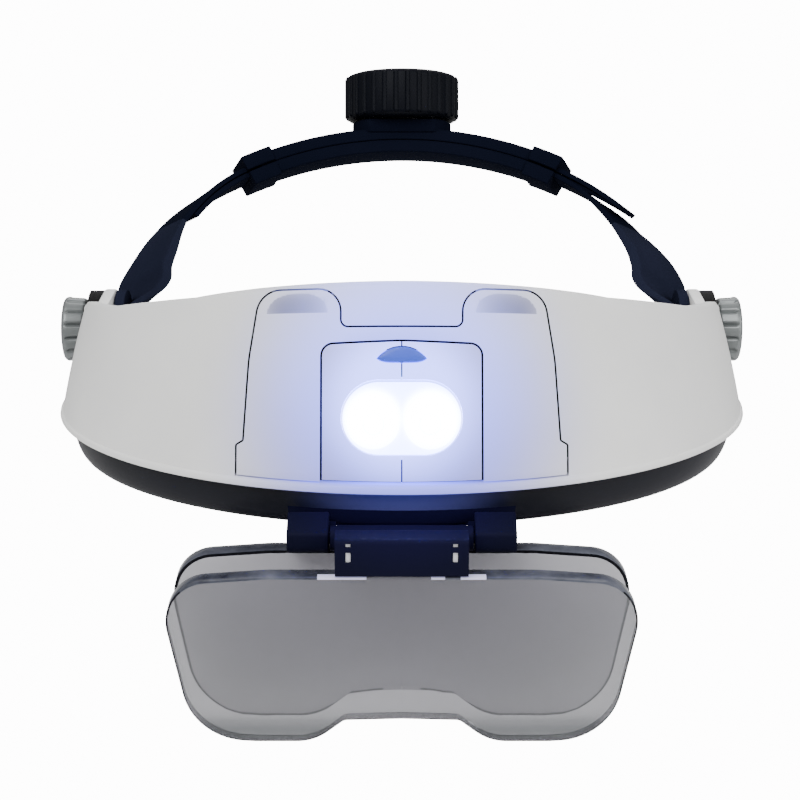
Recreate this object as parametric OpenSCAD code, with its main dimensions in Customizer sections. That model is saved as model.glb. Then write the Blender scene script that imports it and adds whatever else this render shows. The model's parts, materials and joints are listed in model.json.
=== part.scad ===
// Lighted headband magnifier: a moulded visor with a tilting twin lamp, two clip-in lens plates
// on a flip-up holder, and a headband that a rack and pinion at the back draws tight.
// The origin is the middle of the temple pivot axis. +X is to the side, +Y towards the back of
// the head, +Z up. The headband is drawn raised behind the visor.

/* [Visor] */
// Width of the visor at its lower lip
visor_w = 197.2; // [195:0.2:200]
// Depth of the lip curve, from its centre line to the front
lip_b = 67; // [65.6:0.2:69]
// Height of the lip above the temple axis
lip_z = -15.5; // [-17:0.5:-14]
// Height of the top rim at the middle
rim_z = 35; // [34:0.5:38]
// Wall of the moulded shells
wall = 2.2; // [1.8:0.1:2.6]
// Depth of the lower shell under the lip
chin_h = 10.6; // [9:0.2:12]
// Clearance of the seams between covers and shell
seam = 0.35; // [0.25:0.05:0.5]

/* [Lamp] */
// Width of the lamp housing
lamp_w = 42; // [40:0.5:43]
// Height of the lamp housing up the face
lamp_h = 37.6; // [36:0.2:38.5]
// Distance between the two light sources
led_pitch = 15; // [14:0.5:17]
// Radius of each reflector mouth
cup_r = 6.9; // [6:0.1:7.2]
// Travel of the lamp button
button_travel = 0.8; // [0.5:0.1:1.2]

/* [Battery bay] */
// Length of a battery cell
cell_len = 44.5; // [44:0.1:45]
// Diameter of a battery cell
cell_d = 10.5; // [10:0.1:10.8]
// Place of each cell out from the middle
cell_x = 31.5; // [31:0.5:33]

/* [Lens holder] */
// Width of the lens holder block
holder_w = 34; // [32:0.5:36]
// Width of the holder hinge, over its cheeks
hinge_w = 59.5; // [56:0.5:62]
// Diameter of the hinge pin
hinge_pin_d = 3; // [2.5:0.1:3.4]
// Distance between the two spring clips
clip_pitch = 27.2; // [25:0.2:28]

/* [Lens plates] */
// Half of a lens plate's width
plate_half = 60.6; // [56:0.2:62]
// Height of a lens plate
plate_h = 47.6; // [44:0.2:50]
// Thickness of a lens plate at its edge
plate_t = 5.4; // [5:0.1:6.2]
// Bulge of each lens on either face
dome = 1.1; // [0.8:0.1:1.4]
// Distance between the front faces of the two plates
plate_gap = 19; // [18:0.1:20]
// How much lower the rear plate hangs
rear_drop = 1; // [0:0.1:1.5]

/* [Headband] */
// Angle at which the band stands up behind the visor
band_tilt = 45; // [40:1:50]
// Radius of the strap's arc at the back of the head
strap_r = 107; // [104:0.5:110]
// Radius of the bend from the back round to each arm
side_r = 57.5; // [56:0.5:59]
// Depth of the band, temple axis to the middle of the strap at the back
band_depth = 65.5; // [64:0.5:68]
// Width of the strap
strap_w = 19; // [18.5:0.5:21]
// Thickness of one strap
strap_t = 1.8; // [1.6:0.1:2]
// Lean of the strap inwards towards its top edge
cone = 25; // [22:1:27]
// Half angle of the rear housing along the strap
house_half = 25; // [23:0.5:26]
// Diameter of the size knob
knob_d = 35.6; // [32:0.2:38]
// Height of the size knob
knob_h = 14.5; // [13:0.5:17]

/* [Pinion] */
// Teeth on the pinion
pinion_teeth = 10; // [10:2:12]
// Module of the pinion and of both racks
gear_module = 1; // [0.95:0.01:1.03]
// Free play in the mesh, measured along the pitch line
backlash = 0.35; // [0.25:0.05:0.5]

/* [Temple joints] */
// How far each thumb knob stands out past the visor's lip
temple_out = 2.9; // [2.7:0.1:3.9]
// Diameter of a thumb knob
thumb_d = 19.4; // [18:0.2:21]
// Thickness of a thumb knob
thumb_t = 6.7; // [6:0.1:7.5]
// Diameter of the pivot bolt
bolt_d = 5; // [4.6:0.1:5.4]
// Radius of the temple ears
ear_r = 12; // [11.4:0.1:12.5]

/* [Hidden] */

fit = 0.05;            // running clearance on the radius
slack = 0.3;           // clearance between parts of different bodies
eps = 0.01;

// Visor curves: two half ellipses, the lip below and the rim above
lip_a = visor_w / 2;
lip_yc = -25;
rim_a = lip_a - 7.1;
rim_b = lip_b - 9;
rim_yc = -12;
rim_drop = 0.00236;    // fall of the rim towards the temples, per square millimetre
face_bulge = 0.5;
flange_fall = 4.6;      // how far the rim's flange slopes down towards the head
liner_a = rim_a - 2.5;
liner_b = rim_b - 13;
rear_y = -12;          // where the outer shell ends at the temples
bead_v = 0.043;        // height of the lip bead as a share of the face
bead_out = 0.6;

// The flat frame of the face at its middle: y runs up the face, z straight out of it
face_y0 = lip_yc - lip_b;
face_top_y = rim_yc - rim_b;
face_len = norm([face_top_y - face_y0, rim_z - lip_z]);
face_tilt = atan2(rim_z - lip_z, face_top_y - face_y0);

function lerp(a, b, v) = a + (b - a) * v;
function rim_height(phi) = rim_z - rim_drop * pow(rim_a * sin(phi), 2);
function face_pt(phi, v, t) =
    let (swell = face_bulge * 4 * v * (1 - v) - t,
         a = lerp(lip_a, rim_a, v) + swell,
         b = lerp(lip_b, rim_b, v) + swell)
    [a * sin(phi), lerp(lip_yc, rim_yc, v) - b * cos(phi), lerp(lip_z, rim_height(phi), v)];
function sag(x) = lip_b * (1 - sqrt(1 - pow(x / lip_a, 2))) * sin(face_tilt);

module face_frame() { translate([0, face_y0, lip_z]) rotate([face_tilt, 0, 0]) children(); }

// A closed solid between two grids of points that run left to right and bottom to top
module grid_solid(front, back) {
    rows = len(front) - 1;
    cols = len(front[0]) - 1;
    n = cols + 1;
    m = (rows + 1) * n;
    pts = concat([for (r = front) each r], [for (r = back) each r]);
    quads = concat(
        [for (i = [0:rows-1], j = [0:cols-1]) [i*n+j, (i+1)*n+j, (i+1)*n+j+1, i*n+j+1]],
        [for (i = [0:rows-1], j = [0:cols-1]) [m+i*n+j, m+i*n+j+1, m+(i+1)*n+j+1, m+(i+1)*n+j]],
        [for (j = [0:cols-1]) [j, j+1, m+j+1, m+j]],
        [for (j = [0:cols-1]) [rows*n+j+1, rows*n+j, m+rows*n+j, m+rows*n+j+1]],
        [for (i = [0:rows-1]) [(i+1)*n, i*n, m+i*n, m+(i+1)*n]],
        [for (i = [0:rows-1]) [i*n+cols, (i+1)*n+cols, m+(i+1)*n+cols, m+i*n+cols]]);
    polyhedron(pts, [for (q = quads) each [[q[0], q[1], q[2]], [q[0], q[2], q[3]]]]);
}

// A stretch of the visor's face, from depth t0 to depth t1
module skin(phi0, phi1, v0, v1, t0, t1, cols, rows) {
    grid_solid(
        [for (i = [0:rows]) [for (j = [0:cols])
            face_pt(lerp(phi0, phi1, j / cols), lerp(v0, v1, i / rows), t0)]],
        [for (i = [0:rows]) [for (j = [0:cols])
            face_pt(lerp(phi0, phi1, j / cols), lerp(v0, v1, i / rows), t1)]]);
}

// Corner of an outline, rounded to radius r
function corner(a, b, c, r, n) =
    r == 0 ? [b] :
    let (u = (a - b) / norm(a - b), w = (c - b) / norm(c - b),
         half = acos(u * w) / 2, d = r / sin(half), mid = (u + w) / norm(u + w),
         o = b + mid * d, p0 = b + u * r / tan(half) - o, p1 = b + w * r / tan(half) - o,
         a0 = atan2(p0[1], p0[0]), turn = atan2(p1[1], p1[0]) - a0,
         sweep = turn > 180 ? turn - 360 : turn < -180 ? turn + 360 : turn)
    [for (i = [0:n]) o + r * [cos(a0 + sweep * i / n), sin(a0 + sweep * i / n)]];
// Outline through corners given as [x, y, radius]
function rounded(p, n = 6) =
    let (k = len(p), xy = [for (q = p) [q[0], q[1]]])
    [for (i = [0:k-1]) each corner(xy[(i + k - 1) % k], xy[i], xy[(i + 1) % k], p[i][2], n)];
function flipped(p) = [for (i = [len(p)-1:-1:0]) [-p[i][0], p[i][1], p[i][2]]];

module stadium(half, r, h) {
    linear_extrude(h) union() {
        square([2 * half, 2 * r], center = true);
        for (s = [-1, 1]) translate([s * half, 0]) circle(r, $fn = 48);
    }
}
module along_x(x0, x1, r) { translate([x0, 0, 0]) rotate([0, 90, 0]) cylinder(r = r, h = x1 - x0, $fn = 48); }
module side_profile(x0, x1, pts) {
    translate([x0, 0, 0]) rotate([90, 0, 90]) linear_extrude(x1 - x0) polygon(pts);
}

// Outlines on the face, in the face frame
lamp_u0 = bead_v * face_len;
lamp_u1 = lamp_u0 + lamp_h;
tongue_half = 15;
tongue_u = lamp_u1 + 3.2;
cover_top = face_len - 2.5;
cover_out = [
    [43.6, -6, 0], [43.6, 13.2, 0.6], [41.7, 14.3, 0.6], [40.3, 35.5, 40], [37.1, cover_top, 4],
    [tongue_half, cover_top, 4], [tongue_half, tongue_u, 1.6]];
lamp_out = [[lamp_w / 2, -6, 0], [lamp_w / 2, lamp_u1, 3.2]];
module cover_outline(g) { offset(delta = g) polygon(rounded(concat(cover_out, flipped(cover_out)))); }
module lamp_outline(g) { offset(delta = g) polygon(rounded(concat(lamp_out, flipped(lamp_out)))); }
module through_face(deep) { face_frame() translate([0, 0, -deep]) linear_extrude(deep + 12) children(); }
module above_bead(v0, t0, t1) { skin(-30, 30, v0, 1.06, t0, t1, 20, 4); }

// Temple stack, each plane measured out from the middle
thumb_x1 = visor_w / 2 + temple_out;
thumb_x0 = thumb_x1 - thumb_t;
spacer_x1 = thumb_x0 - 0.1;
ear_t = 3.4;
ear_x1 = spacer_x1 - 5.4;
ear_x0 = ear_x1 - ear_t;
arm_t = 3.1;
arm_x1 = ear_x0 - slack;
arm_x0 = arm_x1 - arm_t;
bolt_r = bolt_d / 2 - fit;
bolt_head_r = 4.6;
liner_x1 = liner_a;

// Hinge of the lens holder
hinge_y = face_y0 - 3;
hinge_z = lip_z - 11;
knuckle_r = 4.2;
cheek_x0 = holder_w / 2 + 1.9;
knuckle_x = cheek_x0 - slack - 0.1;
plate_top = hinge_z - 5.4;
front_y = face_y0 - 16;
plate_y = front_y + 0.6;
slot_t = 3.2;
tab_half = holder_w / 2 - 1.9;
front_tab = 1.4;        // where the tab stands on each plate, from its front face
rear_tab = 1.1;

// Lamp pivot in the face frame
lamp_axis_u = lamp_u0 + lamp_h / 2;
lamp_axis_n = -6;
lamp_pin_r = 1.2;
tray_x0 = lamp_w / 2 + 0.7;
// Room for the lamp's lower edge as it swings in
lamp_swing_r = norm([lamp_axis_u - lamp_u0 - 2 * seam, lamp_axis_n]) + slack;
module lamp_swing() {
    face_frame() translate([0, lamp_axis_u, lamp_axis_n])
        rotate([0, 90, 0]) cylinder(r = lamp_swing_r, h = lamp_w + 0.2, center = true, $fn = 96);
}

// Headband, drawn flat and then turned up about the temple axis
ring_yc = band_depth - strap_r;
layer = strap_t + 0.4;
outer_r = strap_r + layer / 2;
inner_r = strap_r - layer / 2;
house_w = strap_w + 3.2;
house_wall = 2.2;
house_in = inner_r - strap_t / 2 - 0.2 - house_wall;
house_out = outer_r + strap_t / 2 + 0.2 + house_wall;
pitch_r = gear_module * pinion_teeth / 2;
tooth_step = 180 * gear_module / strap_r;
rack_end = 40.5;
arm_start = 55;         // heading at which the stiff arm passes into the strap
bend_at = 28;           // heading at which the wide arc ends

module band_frame() { rotate([band_tilt, 0, 0]) children(); }
module ring_frame() { translate([0, ring_yc, 0]) children(); }
// The frame on the strap at the back: z straight out, y up the strap's width
module back_frame() {
    band_frame() translate([0, band_depth, 0]) rotate([-90 + cone, 0, 0]) mirror([0, 1, 0]) children();
}
// A leaning band between two radii, from angle a0 to a1, both measured from the back
module band_arc(a0, a1, r0, r1, w) {
    lean = w / 2 * tan(cone);
    ring_frame() rotate([0, 0, 90 - a1]) rotate_extrude(angle = a1 - a0, $fn = 144)
        polygon([[r0 + lean, -w / 2], [r1 + lean, -w / 2], [r1 - lean, w / 2], [r0 - lean, w / 2]]);
}

// Shells of the visor

module temple_cut() {
    // side outline of the shell's ends, with the corner rounded off
    side_profile(-lip_a - 9, lip_a + 9, rounded([
        [-130, -40, 0], [rear_y, -40, 0], [rear_y, 13.6, 14], [-40, 19.4, 0], [-58, 27.5, 0], [-130, 90, 0]]));
}

// The whole outer wall, its lip bead as two rows that stand out
module shell_wall() {
    cols = 58;
    reach = 103;
    rows = [[0, -bead_out], [bead_v - 0.009, -bead_out], [bead_v - 0.003, 0], [0.2, 0], [0.4, 0], [0.6, 0],
            [0.8, 0], [1, 0]];
    grid_solid(
        [for (q = rows) [for (j = [0:cols]) face_pt(lerp(-reach, reach, j / cols), q[0], q[1])]],
        [for (q = rows) [for (j = [0:cols]) face_pt(lerp(-reach, reach, j / cols), q[0], wall)]]);
}

module rim_flange() {
    cols = 44;
    reach = 96;
    function inner(phi, dz) =
        [liner_a * sin(phi), rim_yc - liner_b * cos(phi), rim_height(phi) - flange_fall - dz];
    function ring(dz) = [
        [for (j = [0:cols]) face_pt(lerp(-reach, reach, j / cols), 1, wall / 2) - [0, 0, dz]],
        [for (j = [0:cols]) inner(lerp(-reach, reach, j / cols), dz)]];
    grid_solid(ring(0.02), ring(wall));
}

module ear(side) {
    mirror([side < 0 ? 1 : 0, 0, 0]) {
        difference() {
            union() {
                along_x(ear_x0, ear_x1, ear_r);
                side_profile(ear_x0, ear_x1, [[rear_y - 6, -ear_r], [0, -ear_r], [0, ear_r],
                                              [rear_y - 6, 12.4]]);
                intersection() {
                    skin(70, 98, 0.02, 0.98, 0.4, 14, 6, 2);
                    translate([ear_x0, rear_y - 2.6, lip_z]) cube([20, 2.4, 26]);
                }
            }
            along_x(ear_x0 - 1, ear_x1 + 1, bolt_d / 2);
        }
    }
}

module upper_shell() {
    color("lightgray") union() {
        intersection() {
            difference() {
                union() {
                    shell_wall();
                    rim_flange();
                }
                intersection() {
                    above_bead(bead_v, -2, 14);
                    through_face(20) union() { cover_outline(seam / 2); lamp_outline(seam / 2); }
                }
                lamp_swing();
            }
            temple_cut();
        }
        for (s = [-1, 1]) ear(s);
    }
}

// Outer curve of the lower shell, from the lip down to the underside
chin_pts = 4;
function chin_pt(phi, i, t) =
    let (q = 90 * i / chin_pts,
         a = lip_a - wall - 0.6 - 3.6 * (1 - cos(q)) - t,
         b = lip_b - wall - 0.6 - 1.4 * (1 - cos(q)) - t)
    [a * sin(phi), lip_yc - b * cos(phi), lip_z + 1 - (chin_h + 1 - t * sin(q)) * sin(q)];

module lower_shell() {
    cols = 44;
    reach = 92;
    under = wall;
    function wall_grid(t) = [for (i = [chin_pts:-1:0]) [for (j = [0:cols])
        chin_pt(lerp(-reach, reach, j / cols), i, t)]];
    function floor_ring(dz) = [
        [for (j = [0:cols]) chin_pt(lerp(-reach, reach, j / cols), chin_pts, 0.5) + [0, 0, dz]],
        [for (j = [0:cols]) let (phi = lerp(-reach, reach, j / cols))
            [(liner_a - 0.3) * sin(phi), rim_yc - (liner_b - 0.3) * cos(phi), lip_z - chin_h + dz]]];
    color("midnightblue") difference() {
        union() {
            grid_solid(wall_grid(0), wall_grid(wall));
            grid_solid(floor_ring(under), floor_ring(0));
            translate([-cheek_x0 - 1, hinge_y + 8, hinge_z + 0.15])
                cube([2 * cheek_x0 + 2, 2.4, lip_z - chin_h + 1 - hinge_z]);
            for (s = [-1, 1]) mirror([s < 0 ? 1 : 0, 0, 0]) {
                // hinge cheek of the lens holder
                side_profile(cheek_x0, hinge_w / 2, rounded([
                    [hinge_y - 4, hinge_z + 3, 1.2], [hinge_y - 4, hinge_z - 3.2, 2.5],
                    [hinge_y + 11, hinge_z - 3.2, 2], [hinge_y + 14, lip_z - chin_h + 1, 0],
                    [hinge_y + 6, lip_z - chin_h + 1.2, 0], [hinge_y + 4.8, hinge_z + 5.6, 0]], 4));
                for (x = [46, 76]) screw_place(x) cylinder(r = 3, h = 10, $fn = 32);
            }
        }
        translate([0, hinge_y, hinge_z]) along_x(-hinge_w / 2 + 2, hinge_w / 2 - 2, hinge_pin_d / 2);
        lamp_swing();
        for (s = [-1, 1], x = [46, 76]) mirror([s < 0 ? 1 : 0, 0, 0]) screw_place(x)
            translate([0, 0, -2]) cylinder(r = 1.3, h = 14, $fn = 24);
    }
}
// Foot of a screw post on the floor, midway between face and liner
module screw_place(x) {
    y = rim_yc - (liner_b + 9) * sqrt(1 - pow(x / (liner_a + 4.5), 2));
    translate([x, y, lip_z - chin_h + 0.8]) children();
}
module shell_screws() {
    color("silver") for (s = [-1, 1], x = [46, 76]) mirror([s < 0 ? 1 : 0, 0, 0]) screw_place(x)
        translate([0, 0, -2.4]) union() {
            cylinder(r = 2.3, h = 1.5, $fn = 24);
            cylinder(r = 1.2, h = 9, $fn = 24);
        }
}

module inner_liner() {
    cols = 44;
    reach = 96;
    function sheet(t) = [for (i = [0:3]) [for (j = [0:cols])
        let (phi = lerp(-reach, reach, j / cols))
        [(liner_a - t) * sin(phi), rim_yc - (liner_b - t) * cos(phi),
         lerp(lip_z - chin_h + wall + 0.2, rim_height(phi) - flange_fall - wall - 0.2, i / 3)]]];
    color("darkslateblue") difference() {
        intersection() {
            grid_solid(sheet(0.35), sheet(0.35 + wall - 0.4));
            side_profile(-lip_a, lip_a, [[-90, -40], [rear_y - 6.3, -40], [rear_y - 6.3, 12], [-90, 60]]);
        }
    }
}

module forehead_pad() {
    // a crowned foam strip on the liner, drawn in along both long edges
    rows = 6;
    cols = 30;
    reach = 52;
    function front(i, j) =
        let (phi = lerp(-reach, reach, j / cols), e = 2 * i / rows - 1, f = 2 * j / cols - 1,
             crown = 1.2 + 6.3 * pow(1 - pow(e, 4), 0.5) * pow(1 - pow(f, 8), 0.5),
             t = wall + 0.25 + crown)
        [(liner_a - t) * sin(phi), rim_yc - (liner_b - t) * cos(phi), lerp(-8, 19, i / rows)];
    function back(i, j) =
        let (phi = lerp(-reach, reach, j / cols), t = wall + 0.2)
        [(liner_a - t) * sin(phi), rim_yc - (liner_b - t) * cos(phi), lerp(-8, 19, i / rows)];
    color("dimgray") grid_solid(
        [for (i = [0:rows]) [for (j = [0:cols]) back(i, j)]],
        [for (i = [0:rows]) [for (j = [0:cols]) front(i, j)]]);
}

// Battery bay and its cover

cell_n = -(sag(cell_x) + wall + 0.9 + cell_d / 2);
cell_u0 = 3.6;
tray_n0 = cell_n - cell_d / 2 - 0.9;
tray_n1 = -sag(tray_x0 + 18) - wall - 1.1;
tray_u1 = cell_u0 + cell_len + 2.2;

module battery_tray() {
    color("black") face_frame() difference() {
        union() {
            for (s = [-1, 1]) mirror([s < 0 ? 1 : 0, 0, 0]) {
                translate([tray_x0, cell_u0 - 2, tray_n0]) cube([18, tray_u1 - cell_u0 + 2, tray_n1 - tray_n0]);
                translate([tray_x0, lamp_axis_u - 4, tray_n1 - 1]) cube([1.8, 8, lamp_axis_n + 2.1 - tray_n1 + 1]);
            }
            translate([-tray_x0 - 1, lamp_u1 - 2.5, tray_n0]) cube([2 * tray_x0 + 2, 3, 1.8]);
        }
        for (s = [-1, 1]) mirror([s < 0 ? 1 : 0, 0, 0]) {
            translate([cell_x, cell_u0, cell_n]) rotate([-90, 0, 0])
                cylinder(r = cell_d / 2 + 0.15, h = cell_len + 1, $fn = 64);
            translate([0, lamp_axis_u, lamp_axis_n]) along_x(tray_x0 - 1, tray_x0 + 2.2, lamp_pin_r + fit);
        }
        chin_clearance();
    }
}
// What the tray leaves free for the lower shell's front wall
module chin_clearance() {
    visor_frame() grid_solid(
        [for (i = [chin_pts:-1:0]) [for (j = [0:20]) chin_pt(lerp(-40, 40, j / 20), i, -5)]],
        [for (i = [chin_pts:-1:0]) [for (j = [0:20]) chin_pt(lerp(-40, 40, j / 20), i, wall + slack)]]);
}
// Takes a shape of the visor's frame into the face frame
module visor_frame() {
    rotate([-face_tilt, 0, 0]) translate([0, -face_y0, -lip_z + slack]) children();
}

module battery_cells() {
    for (s = [-1, 1]) face_frame() translate([s * cell_x, cell_u0 + 0.85, cell_n]) rotate([-90, 0, 0]) {
        color("darkorange") cylinder(r = cell_d / 2, h = cell_len - 1.2, $fn = 48);
        color("silver") translate([0, 0, -0.4]) cylinder(r = 1.9, h = cell_len - 0.4, $fn = 32);
    }
}

module battery_contacts() {
    color("silver") for (s = [-1, 1], end = [0, 1]) face_frame()
        translate([s * cell_x, end == 0 ? cell_u0 + 0.05 : cell_u0 + cell_len + 0.55, cell_n])
            translate([-3.2, 0, -4.3]) cube([6.4, 0.3, 6.4]);
}

scoop_x = 27.8;
scoop_u = face_len - 8.2;
scoop_r = 8.6;
scoop_turn = atan(lip_b * scoop_x / pow(lip_a, 2));
module thumb_scoop(s) {
    // half-round thumb rest, deepest along its flat lower side
    face_frame() translate([s * scoop_x, scoop_u, 0.35 - sag(scoop_x)]) rotate([0, s * scoop_turn, 0])
        rotate([12, 0, 0]) translate([0, 0, -1.35]) linear_extrude(10) intersection() {
            translate([0, 5.4 - scoop_r]) circle(scoop_r, $fn = 64);
            translate([-9, 0]) square([18, 8]);
        }
}

module battery_cover() {
    color("lightgray") difference() {
        intersection() {
            above_bead(bead_v + seam / face_len, 0, wall);
            through_face(20) difference() { cover_outline(-seam / 2); lamp_outline(seam / 2 + 0.05); }
        }
        for (s = [-1, 1]) thumb_scoop(s);
    }
}

// Lamp

window_u = lamp_u0 + 17.6;
window_half = 6;
window_r = 9.9;
led_u = lamp_u0 + 16.3;
button_u = lamp_u0 + 32.4;
button_half = 6.1;
button_arc = 6.9;
lamp_wall = 1.9;

module button_shape(g) {
    intersection() {
        translate([0, -button_arc + 3.6]) circle(button_arc + g, $fn = 64);
        translate([-10, -g]) square([20, 10]);
    }
}
module lamp_block(inset, t0, t1) {
    intersection() {
        skin(-17, 17, bead_v + (2 * seam + inset) / face_len, 1.05, t0, t1, 12, 4);
        through_face(24) difference() {
            lamp_outline(-seam / 2 - inset);
            translate([-30, lamp_u1 - seam / 2 - inset]) square([60, 20]);
        }
    }
}
module lamp_half(s) {
    color("lightgray") intersection() {
        difference() {
            lamp_block(0, 0, 14);
            lamp_block(lamp_wall, lamp_wall, 14.5);
            face_frame() {
                translate([0, window_u, -8]) stadium(window_half, window_r, 20);
                translate([0, button_u, -8]) linear_extrude(20) button_shape(0.2);
                translate([0, lamp_axis_u, lamp_axis_n]) along_x(-30, 30, lamp_pin_r);
            }
        }
        translate([s < 0 ? -40 : 0.12, -120, -60]) cube([40 - 0.12, 100, 120]);
    }
}
module lamp_half_left() { lamp_half(-1); }
module lamp_half_right() { lamp_half(1); }

module lamp_pivots() {
    color("silver") face_frame() translate([0, lamp_axis_u, lamp_axis_n]) for (s = [-1, 1])
        mirror([s < 0 ? 1 : 0, 0, 0]) along_x(lamp_w / 2 - lamp_wall - 0.6, tray_x0 + 1.7, lamp_pin_r);
}

module lamp_window() {
    color([0.8, 0.9, 1, 0.4]) face_frame() translate([0, window_u, 0]) {
        translate([0, 0, -3.2]) stadium(window_half, window_r - 0.12, 1.7);
        translate([0, 0, -4.1]) stadium(window_half - 0.4, window_r + 0.9, 0.9);
    }
}

module reflector() {
    color("gainsboro") face_frame() difference() {
        union() {
            translate([0, window_u, -5.1]) stadium(window_half, window_r - 0.4, 0.9);
            for (s = [-1, 1]) translate([s * led_pitch / 2, led_u, -9.8])
                cylinder(r1 = 4, r2 = cup_r + 0.4, h = 5, $fn = 48);
        }
        for (s = [-1, 1]) translate([s * led_pitch / 2, led_u, -10])
            cylinder(r1 = 2.8, r2 = cup_r, h = 5.9, $fn = 48);
    }
}

module led_board() {
    color("seagreen") face_frame() translate([-14, lamp_u0 + 8.2, -11.4]) cube([28, 26.8, 1.3]);
}
module leds() {
    color("white") face_frame() for (s = [-1, 1]) translate([s * led_pitch / 2, led_u, -10.1]) {
        cylinder(r = 2.5, h = 3.2, $fn = 32);
        translate([0, 0, 3.2]) sphere(2.5, $fn = 32);
    }
}
module lamp_switch() {
    color("black") face_frame() translate([0, button_u + 0.8, -10.1]) {
        translate([-3, -2.2, 0]) cube([6, 4.4, 3.6]);
        cylinder(r = 1.3, h = 5, $fn = 24);
    }
}
module lamp_button() {
    color("royalblue") face_frame() translate([0, button_u, 0]) {
        translate([0, 0, -4]) linear_extrude(4.7) button_shape(0);
        translate([-7, -0.9, -4.1]) cube([14, 3.5, 1]);
    }
}

// Lens holder and lens plates

function holder_side() = rounded([
    [front_y, hinge_z + 5, 1], [front_y, plate_top + 0.35, 0.6],
    [front_y + plate_gap + 6.6, plate_top + 0.35, 1], [front_y + plate_gap + 6.6, hinge_z - 0.3, 1.5],
    [hinge_y + 4.8, hinge_z - 0.3, 0], [hinge_y + 3, hinge_z + 2.6, 1], [hinge_y - 4, hinge_z + 2.6, 0],
    [front_y + 7.6, hinge_z + 5, 1.5]], 4);

module tab_slot(y0, top) {
    translate([-tab_half - slack, y0 - slack / 2, plate_top - 1])
        cube([2 * tab_half + 2 * slack, slot_t + slack, top - plate_top + 1]);
}
module lens_holder() {
    color("midnightblue") difference() {
        union() {
            side_profile(-holder_w / 2, holder_w / 2, holder_side());
            translate([0, hinge_y, hinge_z]) along_x(-knuckle_x, knuckle_x, knuckle_r - 0.9);
        }
        translate([0, hinge_y, hinge_z]) along_x(-knuckle_x - 1, knuckle_x + 1, hinge_pin_d / 2);
        tab_slot(plate_y + front_tab, hinge_z - 2.9);
        tab_slot(plate_y + plate_gap + rear_tab, hinge_z - 2.9);
        for (s = [-1, 1]) translate([s * clip_pitch / 2, front_y, 0]) {
            translate([-0.75, -1, hinge_z + 3.2]) cube([1.5, 2.4, 1]);
            translate([-0.75, -1, hinge_z - 1]) cube([1.5, 2.4, 2.8]);
            translate([-0.75, 0.5, hinge_z - 2]) cube([1.5, 0.9, 6.2]);
        }
    }
}
module clip_springs() {
    color("white") for (s = [-1, 1]) translate([s * clip_pitch / 2 - 0.6, front_y + 0.6, hinge_z - 1.9])
        cube([1.2, 0.7, 6]);
}
module hinge_pin() {
    color("silver") translate([0, hinge_y, hinge_z])
        along_x(-hinge_w / 2 + 2.2, hinge_w / 2 - 2.2, hinge_pin_d / 2 - fit);
}

module plate_outline() {
    w = plate_half;
    h = plate_h;
    half = [[0, 0, 0], [35, 0, 30], [w - 3.2, -1.6, 11], [w + 0.6, -12, 14], [w - 6, -h + 1, 17],
            [w - 22, -h, 20], [20.5, -h, 13], [13, -h + 7.2, 7], [0, -h + 7.2, 0]];
    polygon(concat(rounded(half), [for (q = rounded(flipped(half))) q]));
}
lens_r = 23;
module lens_dome() {
    // one face of a lens: a shallow cap in rings, rooted in the plate
    rings = 6;
    root = plate_t / 4;
    rotate_extrude($fn = 72) polygon(concat([[0, -root], [lens_r, -root]],
        [for (i = [rings:-1:0]) [lens_r * i / rings, dome * (1 - pow(i / rings, 2))]]));
}
module lens_plate(tab_y) {
    union() {
        rotate([90, 0, 0]) translate([0, 0, -plate_t]) linear_extrude(plate_t) plate_outline();
        for (s = [-1, 1]) translate([s * plate_half / 2, 0, -plate_h / 2]) {
            rotate([90, 0, 0]) lens_dome();
            translate([0, plate_t, 0]) rotate([-90, 0, 0]) lens_dome();
        }
        translate([-tab_half, tab_y, -1]) cube([2 * tab_half, slot_t, hinge_z - plate_top - 2.2]);
    }
}
module front_lens() { color([0.7, 0.75, 0.8, 0.5]) translate([0, plate_y, plate_top]) lens_plate(front_tab); }
module rear_lens() {
    color([0.7, 0.75, 0.8, 0.5]) translate([0, plate_y + plate_gap, plate_top - rear_drop]) lens_plate(rear_tab);
}

// Temple joints

module spacer(s) {
    color("black") mirror([s < 0 ? 1 : 0, 0, 0]) difference() {
        union() {
            along_x(ear_x1, spacer_x1 - 1.2, ear_r - 0.4);
            along_x(spacer_x1 - 1.3, spacer_x1, thumb_d / 2 - 2);
        }
        along_x(ear_x1 - 1, spacer_x1 + 1, bolt_d / 2);
    }
}
module spacer_left() { spacer(-1); }
module spacer_right() { spacer(1); }

module bolt(s) {
    color("silver") mirror([s < 0 ? 1 : 0, 0, 0]) union() {
        along_x(arm_x0 - slack - 2.2, arm_x0 - slack, bolt_head_r);
        along_x(arm_x0 - slack - 0.1, thumb_x1 - 1.8, bolt_r);
    }
}
module bolt_left() { bolt(-1); }
module bolt_right() { bolt(1); }

// Wavy outline of a thumb knob, cut from bar by nine shallow lobes
module thumb_outline(r) {
    lobes = 9;
    steps = 90;
    polygon([for (i = [0:steps-1]) let (a = 360 * i / steps, wave = cos(lobes * a))
        (r - 0.75 + 0.75 * (wave > 0 ? wave : 1.25 * wave)) * [cos(a), sin(a)]]);
}
module thumb(s) {
    color("lightgray") mirror([s < 0 ? 1 : 0, 0, 0]) difference() {
        translate([thumb_x0, 0, 0]) rotate([0, 90, 0]) union() {
            translate([0, 0, 0.6]) linear_extrude(thumb_t - 1.3) thumb_outline(thumb_d / 2);
            linear_extrude(thumb_t) thumb_outline(thumb_d / 2 - 0.7);
        }
        along_x(thumb_x0 - 1, thumb_x1 - 1.5, bolt_d / 2);
        along_x(thumb_x1 - 0.6, thumb_x1 + 1, thumb_d / 2 - 4.6);
    }
}
module thumb_left() { thumb(-1); }
module thumb_right() { thumb(1); }

// Headband

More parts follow.
